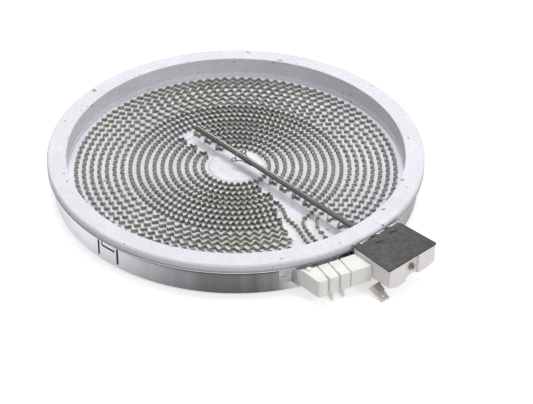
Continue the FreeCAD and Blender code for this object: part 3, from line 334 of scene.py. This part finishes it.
def drawn_steel(name, colour):
    """Drawn and polished sheet with upright marks, painted reflections that swing lighter and
    darker round the wall, and painted shade under the lip, at the foot and in the tongue's cuts.
    """
    material, tree, shader, place = finish_base(name)
    split = tree.nodes.new("ShaderNodeSeparateXYZ")
    tree.links.new(place, split.inputs[0])
    angle = calculate(tree, "ARCTAN2", split.outputs["Y"], split.outputs["X"])
    share = tree.nodes.new("ShaderNodeMapRange")
    share.inputs["From Min"].default_value = -math.pi
    share.inputs["From Max"].default_value = math.pi
    tree.links.new(angle, share.inputs["Value"])
    # Painted reflections: the wall's colour turns lighter and darker round its axis, as a mirror of
    # its surroundings would.
    swing = ramp(tree, share.outputs[0], [
        ((degrees + 180) / 360, shade(colour, tone)) for degrees, tone in PAN_PAINTED_REFLECTIONS])
    streaks = noise(tree, stretched(tree, place, (1.0, 1.0, 0.06)), 120.0, 3.0, 0.5)
    tone = blend_colours(tree, ramp(tree, streaks, greys(0.45, 0.8, 0, 0.12)), swing,
                         shade(colour, 1.2))
    stains = ramp(tree, noise(tree, place, 50.0, 5.0, 0.6), greys(0.6, 0.8, 0, 0.3))
    tone = blend_colours(tree, stains, tone, shade(colour, 0.35))
    # Painted shade: the wall darkens in a band under the overhanging lip and at its very foot.
    painted_wall_shade = height_mask(tree, place, [
        (0.2, 0.45), (1.2, 0.0), (13.6, 0.0), (14.5, 0.75), (16.0, 0.9)])
    tone = blend_colours(tree, painted_wall_shade, tone, shade(colour, 0.08))
    # Painted shade: the tongue's cuts are drawn nearly black, as the shade inside them.
    tone = blend_colours(tree, cut_shade_mask(tree, angle, split.outputs["Z"]), tone,
                         shade(colour, 0.03))
    tree.links.new(tone, shader.inputs["Base Color"])
    shader.inputs["Metallic"].default_value = 0.85
    roughness = ramp(tree, noise(tree, place, 110.0, 4.0), greys(0.3, 0.7, 0.26, 0.42))
    tree.links.new(roughness, shader.inputs["Roughness"])
    add_bump(tree, shader, streaks, 0.1, 0.0002)
    return material


def oxidised_ribbon(name, colour, height):
    """Oxidised strip: dark grey with a few olive patches, its upper edge painted bright as a
    highlight.
    """
    material, tree, shader, place = finish_base(name)
    olive = (colour[0] * 0.95, colour[1], colour[2] * 0.72)
    patches = ramp(tree, noise(tree, place, 22.0, 3.0), greys(0.52, 0.62, 0, 1))
    tone = blend_colours(tree, patches, colour, olive)
    fine = ramp(tree, noise(tree, place, 330.0, 3.0), greys(0.5, 0.68, 0, 0.7))
    tone = blend_colours(tree, fine, tone, shade(colour, 2.3))
    level = FLOOR + height / MM
    # Painted highlight: the strip's top band is drawn three times brighter, as light catching its
    # edge.
    edge = height_mask(tree, place, [(level - 0.75, 0.0), (level - 0.4, 0.75)])
    tone = blend_colours(tree, edge, tone, shade(colour, 3.0))
    tree.links.new(tone, shader.inputs["Base Color"])
    shader.inputs["Metallic"].default_value = 0.45
    roughness = ramp(tree, noise(tree, place, 300.0, 3.0), greys(0.3, 0.7, 0.3, 0.5))
    tree.links.new(roughness, shader.inputs["Roughness"])
    shader.inputs["Specular IOR Level"].default_value = 0.7
    add_bump(tree, shader, noise(tree, place, 1500.0), 0.1, 0.0001)
    return material


def fired_ceramic(name, colour):
    """Unglazed steatite: matt and chalky, with faint stains."""
    material, tree, shader, place = finish_base(name)
    tone = ramp(tree, noise(tree, place, 110.0, 5.0), [
        (0.25, shade(colour, 0.92)), (0.6, colour), (0.8, shade(colour, 1.05))])
    stains = ramp(tree, noise(tree, place, 300.0, 6.0, 0.7), greys(0.64, 0.8, 0, 0.5))
    tone = blend_colours(tree, stains, tone, shade(colour, 0.72))
    tree.links.new(tone, shader.inputs["Base Color"])
    shader.inputs["Roughness"].default_value = 0.7
    shader.inputs["Specular IOR Level"].default_value = 0.35
    add_bump(tree, shader, noise(tree, place, 1800.0, 3.0), 0.15, 0.0002)
    return material


def glazed_tube(name, colour):
    """Dense dark tube with a smooth, half glossy skin and heat marks along it."""
    material, tree, shader, place = finish_base(name)
    marks = noise(tree, stretched(tree, place, (0.25, 1.0, 1.0)), 260.0, 5.0, 0.6)
    tone = ramp(tree, marks, [
        (0.3, shade(colour, 0.72)), (0.55, colour), (0.75, shade(colour, 1.4))])
    tree.links.new(tone, shader.inputs["Base Color"])
    shader.inputs["Metallic"].default_value = 0.85
    shader.inputs["Roughness"].default_value = 0.17
    shader.inputs["Specular IOR Level"].default_value = 0.6
    add_bump(tree, shader, noise(tree, place, 1200.0, 3.0), 0.05, 0.0001)
    return material


def mottled_plate(name, colour):
    """Dark etched sheet with fine mottling and faint scuffs."""
    material, tree, shader, place = finish_base(name)
    mottle = noise(tree, place, 420.0, 6.0, 0.7)
    tone = ramp(tree, mottle, [
        (0.34, shade(colour, 0.66)), (0.5, colour), (0.66, shade(colour, 1.55))])
    scuffs = noise(tree, stretched(tree, place, (0.12, 1.0, 1.0), 35), 700.0, 4.0)
    tone = blend_colours(tree, ramp(tree, scuffs, greys(0.6, 0.78, 0, 0.6)), tone,
                         shade(colour, 2.4))
    tree.links.new(tone, shader.inputs["Base Color"])
    shader.inputs["Metallic"].default_value = 0.35
    shader.inputs["Roughness"].default_value = 0.6
    add_bump(tree, shader, mottle, 0.25, 0.0002)
    return material


def make_finishes():
    """All of the element's materials by name."""
    tint = colours()
    now = sizes()
    return {
        # The ring's last number is the painted shade at the foot of its outer side.
        "ring": pressed_insulation("ring_insulation", tint.insulation, 0.735, 0.5, 0.8),
        "base": pressed_insulation("base_insulation", tint.base, 0.745, 0.3),
        "pan": drawn_steel("pan_steel", tint.pan),
        "bright": sheet_steel("bright_sheet", (0.85, 0.86, 0.88), 0.25, 120.0),
        "stained": sheet_steel("stained_sheet", (0.34, 0.34, 0.34), 0.28, 260.0),
        "inner_ribbon": oxidised_ribbon(
            "inner_ribbon_alloy", shade(tint.ribbon, 0.88), now.inner_height),
        "outer_ribbon": oxidised_ribbon("outer_ribbon_alloy", tint.ribbon, now.outer_height),
        "block": fired_ceramic("block_steatite", tint.block),
        "head": fired_ceramic("head_steatite", tint.head),
        "plate": mottled_plate("cover_plate_steel", tint.plate),
        "terminal": sheet_steel("terminal_steel", tint.terminal, 0.42, 120.0, 0.6),
        "tinned": sheet_steel("tinned_steel", (0.80, 0.80, 0.78), 0.35, 200.0, 0.7),
        "tube": glazed_tube("tube_ceramic", tint.tube),
        "wire": sheet_steel("wire_steel", (0.25, 0.25, 0.25), 0.22, 200.0),
        "screw": sheet_steel("screw_steel", (0.36, 0.35, 0.33), 0.3, 300.0),
        "brass": sheet_steel("brass", (0.62, 0.5, 0.3), 0.35, 200.0),
    }


FINISHES = {}

NODE_FINISH = {
    "pan": "pan", "insulation_base": "base", "insulation_ring": "ring",
    "inner_heating_ribbon": "inner_ribbon", "outer_heating_ribbon": "outer_ribbon",
    "limiter_tube": "tube", "expansion_rod": "wire", "tube_tip_plug": "wire",
    "centre_wire_clip": "wire", "tube_collar": "wire", "switch_push_pin": "tube",
    "head_housing": "head", "cover_plate": "plate", "calibrating_screw": "screw",
    "lock_nut": "screw", "switch_spring": "wire", "spring_post": "wire",
    "moving_contact": "brass", "fixed_contact": "brass", "contact_strip": "terminal",
    "limiter_spade_tab": "terminal", "common_link": "terminal", "limiter_bracket": "stained",
    "terminal_block": "block", "outer_circuit_blade": "tinned",
    "inner_circuit_blade": "tinned", "block_strap": "stained", "strap_rivets": "stained",
}


def dress(thing, finish):
    """Gives an object one finish."""
    thing.data.materials.clear()
    thing.data.materials.append(FINISHES[finish])


class FinishFrame(bpy.types.Operator):
    """Gives every solid of the frame its finish"""

    bl_idname = "element.finish_frame"
    bl_label = "Finish the solids"

    def execute(self, context):
        FINISHES.update(make_finishes())
        for name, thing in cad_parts.items():
            dress(thing, NODE_FINISH[name])
        return {"FINISHED"}


# The heating ribbons: lengths in millimetres and angles in degrees

INNER_TURNS = 10
OUTER_TURNS = 7
SPLIT_TURNS = 6
FIRST_RADIUS = 20.4
INNER_STEP = 4.933
OUTER_FIRST = 69.7
OUTER_STEP = 4.683
FLOOR = 9.5
TURN_REACH = 0.7
TURN_STEPS = 10
TURN_WAVES = 0.75
GAP_ABOVE = 3.3
GAP_BELOW = 4.6
BAY_DEPTH = 9.8
BAY_SLOPE = 0.457
BLOCK_TURN = -14.5

LEAD_BENDS = {
    "inner_low": [(52.5, -9.6), (60.0, -13.6), (70.0, -15.2), (84.0, -20.4)],
    "inner_high": [(66.2, -1.0), (68.2, -8.2), (75.0, -12.6), (86.0, -16.0)],
    "outer_high": [(72.2, -0.6), (78.5, -6.4), (88.0, -9.2)],
    "outer_low": [(93.9, -32.4)],
}
LEAD_SIDES = {"inner_low": 0.76, "inner_high": 6.3, "outer_high": 10.3, "outer_low": -6.34}
LEAD_RUN_IN = 101.0
LEAD_END = 110.0
LEAD_WAVES = 0.75
LEAD_STEPS = 6
POINTS_PER_WAVE = 8
WAVE_FULLNESS = 0.8


def polar(radius, angle):
    """Point at a radius and an angle in degrees."""
    return Vector((radius * math.cos(math.radians(angle)), radius * math.sin(math.radians(angle))))


def from_block(x, y):
    """Point given in the terminal block's own directions."""
    away = polar(1.0, BLOCK_TURN)
    return Vector((away.x * x - away.y * y, away.y * x + away.x * y))


def gap_angle(radius, reach, left):
    """Angle at which a turn ends beside the gap."""
    angle = math.degrees(math.asin(reach / radius))
    return 180 - angle if left else angle


def upper(radius, step, left=False):
    """End of a turn on the +Y side of the gap."""
    return gap_angle(radius, GAP_ABOVE + step / 2, left)


def lower(radius, step, edge, left=False):
    """End of a turn on the -Y side, which widens into the leads' bay."""
    reach = GAP_BELOW
    if radius > edge:
        reach = BAY_DEPTH + BAY_SLOPE * (radius - edge)
    angle = gap_angle(radius, -reach - step / 2, left)
    return angle if left else 360 + angle


def inner_course():
    """Runs of the inner circuit: radius, first angle and last angle."""
    radii = [FIRST_RADIUS + INNER_STEP * k for k in range(INNER_TURNS)]
    step = INNER_STEP
    edge = radii[SPLIT_TURNS - 1] + step / 4
    runs = []
    angle = lower(radii[SPLIT_TURNS - 1], step, edge)
    going = -1
    for k in range(SPLIT_TURNS - 1, 0, -1):
        end = lower(radii[k] - step / 2, step, edge, left=going < 0)
        runs.append((radii[k], angle, end))
        angle = end
        going = -going
    end = upper(radii[0] + step / 2, step, left=going > 0)
    runs.append((radii[0], angle, end + 360 if going > 0 else end))
    angle = end
    going = -going
    for k in range(1, INNER_TURNS):
        between = radii[k] + step / 2 if k + 1 < INNER_TURNS else radii[k]
        if k < SPLIT_TURNS:
            end = upper(between, step, left=going > 0)
        elif going > 0:
            end = lower(between, step, edge)
        else:
            end = upper(between, step)
        runs.append((radii[k], angle, end))
        angle = end
        going = -going
    return runs


def outer_course():
    """Runs of the outer circuit."""
    radii = [OUTER_FIRST + OUTER_STEP * k for k in range(OUTER_TURNS)]
    edge = FIRST_RADIUS + INNER_STEP * (SPLIT_TURNS - 0.75)
    runs = []
    angle = upper(radii[0], OUTER_STEP)
    going = 1
    for k, radius in enumerate(radii):
        between = radius + OUTER_STEP / 2 if k + 1 < OUTER_TURNS else radius
        end = lower(between, OUTER_STEP, edge) if going > 0 else upper(between, OUTER_STEP)
        runs.append((radius, angle, end))
        angle = end
        going = -going
    return runs


def soft_line(stops, spacing):
    """Points along a smooth line through a few stops."""
    points = []
    padded = [stops[0] * 2 - stops[1]] + stops + [stops[-1] * 2 - stops[-2]]
    for i in range(1, len(padded) - 2):
        a, b, c, d = padded[i - 1:i + 3]
        steps = max(2, round((c - b).length / spacing))
        for j in range(steps):
            t = j / steps
            points.append(0.5 * (2 * b + (c - a) * t + (2 * a - 5 * b + 4 * c - d) * t * t
                                 + (3 * b - a - 3 * c + d) * t ** 3))
    points.append(stops[-1])
    return points


def centre_line(runs, spacing):
    """Points along all the turns and the bends between them, each with its wave share."""
    path = []
    for index, (radius, start, end) in enumerate(runs):
        sweep = math.radians(end - start)
        steps = max(8, round(abs(sweep) * radius / spacing))
        for i in range(steps + 1):
            path.append((polar(radius, start + (end - start) * i / steps), 1.0))
        if index + 1 < len(runs):
            following = runs[index + 1][0]
            first = polar(radius, end)
            last = polar(following, end)
            middle = (first + last) / 2
            ahead = polar(1.0, end + math.copysign(90, sweep))
            reach = (last - first).length / 2 * TURN_REACH
            for i in range(1, TURN_STEPS):
                swing = math.pi * i / TURN_STEPS
                spot = middle + (first - middle) * math.cos(swing)
                spot += ahead * (reach * math.sin(swing))
                path.append((spot, TURN_WAVES))
    return path


def lead_line(name, start, spacing):
    """A lead from a turn's end to its terminal; the last run is plain."""
    bends = [Vector(bend) for bend in LEAD_BENDS[name]]
    side = LEAD_SIDES[name]
    stops = [start] + bends + [from_block(LEAD_RUN_IN, side)]
    line = [(point, LEAD_WAVES) for point in soft_line(stops, spacing)[1:]]
    for i in range(1, LEAD_STEPS + 1):
        run = LEAD_RUN_IN + (LEAD_END - LEAD_RUN_IN) * i / LEAD_STEPS
        line.append((from_block(run, side), 0.0))
    return line


def wave_strip(path, wave, depth, steps):
    """The strip's centre line with its waves, laid along a path."""
    points = [point for point, share in path]
    shares = [share for point, share in path]
    lengths = [0.0]
    for i in range(1, len(points)):
        lengths.append(lengths[-1] + (points[i] - points[i - 1]).length)
    total = lengths[-1]
    count = round(total / wave) * steps
    corners = []
    j = 0
    for i in range(count + 1):
        s = total * i / count
        while j < len(lengths) - 2 and lengths[j + 1] < s:
            j += 1
        t = (s - lengths[j]) / max(1e-9, lengths[j + 1] - lengths[j])
        spot = points[j].lerp(points[j + 1], t)
        along = points[min(j + 2, len(points) - 1)] - points[max(j - 1, 0)]
        side = Vector((-along.y, along.x)).normalized()
        share = shares[j] + (shares[j + 1] - shares[j]) * t
        swing = math.sin(2 * math.pi * i / steps)
        swing = math.copysign(abs(swing) ** WAVE_FULLNESS, swing)
        corners.append(spot + side * (depth / 2 * swing * share))
    return corners


def strip_mesh(name, corners, height, thickness):
    """A thin strip standing on the floor along its corners."""
    mesh = bpy.data.meshes.new(name)
    count = len(corners)
    vertices = [(p.x * MM, p.y * MM, FLOOR * MM + z) for z in (0.0, height) for p in corners]
    faces = [(i, i + 1, count + i + 1, count + i) for i in range(count - 1)]
    mesh.from_pydata(vertices, [], faces)
    thing = bpy.data.objects.new(name, mesh)
    bpy.context.scene.collection.objects.link(thing)
    pick(thing)
    wall = thing.modifiers.new("wall", "SOLIDIFY")
    wall.thickness = thickness
    wall.offset = 0.0
    bpy.ops.object.modifier_apply(modifier=wall.name)
    bpy.ops.object.shade_smooth_by_angle(angle=math.radians(50))
    return thing


def pick(thing):
    """Makes one object the only selected and the active one."""
    bpy.ops.object.select_all(action="DESELECT")
    thing.select_set(True)
    bpy.context.view_layer.objects.active = thing


def take_place(piece, node, finish):
    """A finished piece takes a node's place, rides on the frame and gets its finish."""
    dress(piece, finish)
    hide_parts(node)
    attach(piece, "root")


class WindRibbons(bpy.types.Operator):
    """Winds both heating ribbons with their real fine waves"""

    bl_idname = "element.wind_ribbons"
    bl_label = "Wind the ribbons"

    def execute(self, context):
        now = sizes()
        for name, runs, leads, wave, depth, height in (
                ("inner", inner_course(), ("inner_low", "inner_high"), now.inner_wave,
                 now.inner_depth, now.inner_height),
                ("outer", outer_course(), ("outer_high", "outer_low"), now.outer_wave,
                 now.outer_depth, now.outer_height)):
            wave = wave / MM
            depth = depth / MM
            spacing = wave / POINTS_PER_WAVE
            first = lead_line(leads[0], polar(runs[0][0], runs[0][1]), spacing)
            last = lead_line(leads[1], polar(runs[-1][0], runs[-1][2]), spacing)
            path = first[::-1] + centre_line(runs, spacing) + last
            corners = wave_strip(path, wave, depth, now.wave_steps)
            ribbon = strip_mesh(name + "_ribbon", corners, height, now.strip_thickness)
            take_place(ribbon, name + "_heating_ribbon", name + "_ribbon")
        return {"FINISHED"}


# Copies of solids with rounded edges

ROUNDED = {
    "head_housing": ("head", "ceramic"), "terminal_block": ("block", "ceramic"),
    "cover_plate": ("plate", "sheet"), "limiter_spade_tab": ("terminal", "sheet"),
    "outer_circuit_blade": ("tinned", "sheet"), "inner_circuit_blade": ("tinned", "sheet"),
    "common_link": ("terminal", "sheet"), "limiter_bracket": ("stained", "sheet"),
    "block_strap": ("stained", "sheet"),
}


MERGE_DISTANCE = 0.000002
FLAT_ANGLE = 0.5
SHARP_ANGLE = 30
CERAMIC_SEGMENTS = 3
SHEET_SEGMENTS = 2


def rounded_copy(node, width, segments):
    """A copy of a node with merged faces and rounded sharp edges."""
    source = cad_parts[node]
    piece = bpy.data.objects.new(node + "_rounded", source.data.copy())
    bpy.context.scene.collection.objects.link(piece)
    pick(piece)
    bpy.ops.object.mode_set(mode="EDIT")
    bpy.ops.mesh.select_all(action="SELECT")
    bpy.ops.mesh.remove_doubles(threshold=MERGE_DISTANCE)
    bpy.ops.mesh.dissolve_limited(angle_limit=math.radians(FLAT_ANGLE))
    bpy.ops.object.mode_set(mode="OBJECT")
    bevel = piece.modifiers.new("edge", "BEVEL")
    bevel.width = width
    bevel.segments = segments
    bevel.limit_method = "ANGLE"
    bevel.angle_limit = math.radians(SHARP_ANGLE)
    bevel.harden_normals = False
    bpy.ops.object.modifier_apply(modifier=bevel.name)
    bpy.ops.object.shade_smooth_by_angle(angle=math.radians(35))
    return piece


class RoundEdges(bpy.types.Operator):
    """Rounds the edges of the ceramic and sheet pieces"""

    bl_idname = "element.round_edges"
    bl_label = "Round the edges"

    def execute(self, context):
        now = sizes()
        for node, (finish, kind) in ROUNDED.items():
            if kind == "ceramic":
                piece = rounded_copy(node, now.ceramic_round, CERAMIC_SEGMENTS)
            else:
                piece = rounded_copy(node, now.edge_round, SHEET_SEGMENTS)
            take_place(piece, node, finish)
        return {"FINISHED"}


# The wire clip and the pan's rolled edge, in millimetres and degrees

CLIP_SIDE = 1.5
EYE_RADIUS = 1.35
EYE_PITCH = 0.8
EYE_STEPS = 20
EYE_TURN = -42
UPPER_EYE = (1.6, 3.5, 20.0)
LOWER_EYE = (1.0, -4.1, 17.2)


def eyelet(spot, start, end):
    """A little over one turn of wire round a point, its axis level and turned to the front."""
    side = polar(1.0, EYE_TURN + 90)
    axis = polar(1.0, EYE_TURN)
    count = int(abs(end - start) / 360 * EYE_STEPS)
    path = []
    for i in range(count + 1):
        swing = math.radians(start + (end - start) * i / count)
        forward = EYE_PITCH * (i - count / 2) / EYE_STEPS
        across = side * (EYE_RADIUS * math.cos(swing)) + axis * forward
        path.append((spot[0] + across.x, spot[1] + across.y,
                     spot[2] + EYE_RADIUS * math.sin(swing)))
    return path


def clip_path():
    """Path of the clip's wire: long arm, eyelet, bridge over the tube, eyelet, short arm."""
    upper = eyelet(UPPER_EYE, -60, 520)
    lower = eyelet(LOWER_EYE, 60, -400)
    long_arm = [(25.0, 2.3, 18.6), (12.0, 2.3, 18.7), (5.0, 2.6, 18.7)]
    bridge = [(0.9, 1.4, 20.75), (0.7, -0.6, 20.75), (0.6, -2.3, 19.4)]
    short_arm = [(4.0, -2.4, 17.8), (8.0, -2.1, 18.5), (14.0, -2.0, 18.6)]
    spots = long_arm + upper + bridge + lower + short_arm
    return [(x, CLIP_SIDE + y, z) for x, y, z in spots]


class BendClip(bpy.types.Operator):
    """Bends the round wire clip over the limiter tube"""

    bl_idname = "element.bend_clip"
    bl_label = "Bend the clip"

    def execute(self, context):
        bpy.ops.object.select_all(action="DESELECT")
        bpy.ops.curve.primitive_nurbs_path_add(location=(0, 0, 0))
        clip = bpy.context.active_object
        clip.name = "wire_clip_round"
        data = clip.data
        data.splines.clear()
        spline = data.splines.new("NURBS")
        path = clip_path()
        spline.points.add(len(path) - 1)
        for point, spot in zip(spline.points, path):
            point.co = (*(part * MM for part in spot), 1.0)
        spline.order_u = 3
        spline.use_endpoint_u = True
        spline.resolution_u = 3
        data.bevel_depth = sizes().wire_thickness / 2
        data.bevel_resolution = 2
        data.use_fill_caps = True
        pick(clip)
        bpy.ops.object.convert(target="MESH")
        clip = bpy.context.active_object
        bpy.ops.object.shade_smooth_by_angle(angle=math.radians(50))
        take_place(clip, "centre_wire_clip", "wire")
        return {"FINISHED"}


HEM_RADIUS = 114.18
HEM_LEVEL = 18.3
HEM_ROUND = 0.8


class RollHem(bpy.types.Operator):
    """Rolls the bright edge of the pan's lip"""

    bl_idname = "element.roll_hem"
    bl_label = "Roll the hem"

    def execute(self, context):
        bpy.ops.object.select_all(action="DESELECT")
        bpy.ops.mesh.primitive_torus_add(
            location=(0, 0, HEM_LEVEL * MM), major_segments=256, minor_segments=10,
            major_radius=HEM_RADIUS * MM, minor_radius=HEM_ROUND * MM)
        hem = bpy.context.active_object
        hem.name = "pan_hem"
        bpy.ops.object.transform_apply(location=True, rotation=True, scale=True)
        bpy.ops.object.shade_smooth()
        dress(hem, "bright")
        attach(hem, "root")
        return {"FINISHED"}


# Floor, light and camera

FLOOR_SIZE = 4.0
FLOOR_GAP = 0.0001
AIM = Vector((0.0, 0.0, 0.012))
CAMERA_DISTANCE = 1.173
CAMERA_AZIMUTH = 47.91
CAMERA_ELEVATION = 35.32
CAMERA_LENS = 129.2
CAMERA_SHIFT = (0.0574, -0.0708)
FLOOR_LIFT = 0.55
WORLD_STRENGTH = 0.36

# Name, place, power and size of each lamp

LAMPS = (
    ("top_light", (-0.15, 0.15, 1.3), 11.0, 0.8),
    ("side_light", (1.15, 0.15, 0.75), 4.0, 0.4),
    ("back_light", (-0.85, 0.85, 0.7), 2.6, 0.22),
)


def seen_by_camera(tree):
    """One for rays from the camera and in mirrors, nothing for all other light."""
    path = tree.nodes.new("ShaderNodeLightPath")
    most = path.outputs["Is Camera Ray"]
    for name in ("Is Glossy Ray", "Is Transmission Ray"):
        most = calculate(tree, "MAXIMUM", most, path.outputs[name])
    return most


def floor_finish():
    """Pale floor that shows white to the camera and keeps the element's shadow."""
    material = bpy.data.materials.new("studio_floor")
    material.use_nodes = True
    tree = material.node_tree
    shader = tree.nodes["Principled BSDF"]
    shader.inputs["Base Color"].default_value = (0.8, 0.8, 0.8, 1)
    shader.inputs["Roughness"].default_value = 0.9
    glow = tree.nodes.new("ShaderNodeEmission")
    glow.inputs["Color"].default_value = (1, 1, 1, 1)
    lift = calculate(tree, "MULTIPLY", seen_by_camera(tree), FLOOR_LIFT)
    tree.links.new(lift, glow.inputs["Strength"])
    both = tree.nodes.new("ShaderNodeAddShader")
    tree.links.new(shader.outputs[0], both.inputs[0])
    tree.links.new(glow.outputs[0], both.inputs[1])
    tree.links.new(both.outputs[0], tree.nodes["Material Output"].inputs["Surface"])
    return material


def world_light():
    """Even pale light from all round, white where the camera or a mirror sees it."""
    world = bpy.data.worlds.new("studio")
    world.use_nodes = True
    tree = world.node_tree
    background = tree.nodes["Background"]
    background.inputs["Color"].default_value = (1, 1, 1, 1)
    strength = tree.nodes.new("ShaderNodeMapRange")
    strength.inputs["To Min"].default_value = WORLD_STRENGTH
    strength.inputs["To Max"].default_value = 1.0
    tree.links.new(seen_by_camera(tree), strength.inputs["Value"])
    tree.links.new(strength.outputs[0], background.inputs["Strength"])
    return world


def soft_lamp(name, place, power, size):
    """An area lamp that looks at the element."""
    data = bpy.data.lights.new(name, "AREA")
    data.energy = power
    data.size = size
    lamp = bpy.data.objects.new(name, data)
    lamp.location = place
    lamp.rotation_euler = (AIM - Vector(place)).to_track_quat("-Z", "Y").to_euler()
    bpy.context.scene.collection.objects.link(lamp)


class SetStage(bpy.types.Operator):
    """Sets the floor, the soft light and the camera"""

    bl_idname = "element.set_stage"
    bl_label = "Set the stage"

    def execute(self, context):
        scene = bpy.context.scene
        bpy.ops.object.select_all(action="DESELECT")
        bpy.ops.mesh.primitive_plane_add(
            size=FLOOR_SIZE, location=(0, 0, CAD_BOX[0][2] - FLOOR_GAP))
        floor = bpy.context.active_object
        floor.name = "studio_floor"
        floor.data.materials.append(floor_finish())
        scene.world = world_light()
        for lamp in LAMPS:
            soft_lamp(*lamp)
        elevation = math.radians(CAMERA_ELEVATION)
        azimuth = math.radians(CAMERA_AZIMUTH)
        toward = Vector((math.sin(azimuth) * math.cos(elevation),
                         -math.cos(azimuth) * math.cos(elevation), math.sin(elevation)))
        data = bpy.data.cameras.new("photo_camera")
        data.lens = CAMERA_LENS
        data.sensor_width = 36.0
        data.shift_x, data.shift_y = CAMERA_SHIFT
        data.clip_end = 20.0
        camera = bpy.data.objects.new("photo_camera", data)
        camera.location = AIM + toward * CAMERA_DISTANCE
        camera.rotation_euler = (-toward).to_track_quat("-Z", "Y").to_euler()
        scene.collection.objects.link(camera)
        scene.camera = camera
        scene.view_settings.view_transform = "Standard"
        return {"FINISHED"}


class ElementPanel(bpy.types.Panel):
    """Sidebar panel with the element's sizes, colours and operators"""

    bl_idname = "VIEW3D_PT_element"
    bl_label = "Radiant element"
    bl_space_type = "VIEW_3D"
    bl_region_type = "UI"
    bl_category = "Element"

    def draw(self, context):
        layout = self.layout
        for group in (context.scene.element_sizes, context.scene.element_colours):
            for name in group.__annotations__:
                layout.prop(group, name)
        for operator in OPERATORS:
            layout.operator(operator.bl_idname)


OPERATORS = (FinishFrame, WindRibbons, BendClip, RoundEdges, RollHem, SetStage)
CLASSES = (ElementSizes, ElementColours) + OPERATORS + (ElementPanel,)


def register():
    """Registers the classes and the settings."""
    for item in CLASSES:
        bpy.utils.register_class(item)
    bpy.types.Scene.element_sizes = PointerProperty(type=ElementSizes)
    bpy.types.Scene.element_colours = PointerProperty(type=ElementColours)


def unregister():
    """Takes the classes and the settings away."""
    del bpy.types.Scene.element_colours
    del bpy.types.Scene.element_sizes
    for item in reversed(CLASSES):
        bpy.utils.unregister_class(item)


def main():
    """Builds the element's looks."""
    register()
    bpy.ops.element.finish_frame()
    bpy.ops.element.wind_ribbons()
    bpy.ops.element.bend_clip()
    bpy.ops.element.round_edges()
    bpy.ops.element.roll_hem()
    bpy.ops.element.set_stage()


if __name__ == "__main__":
    main()
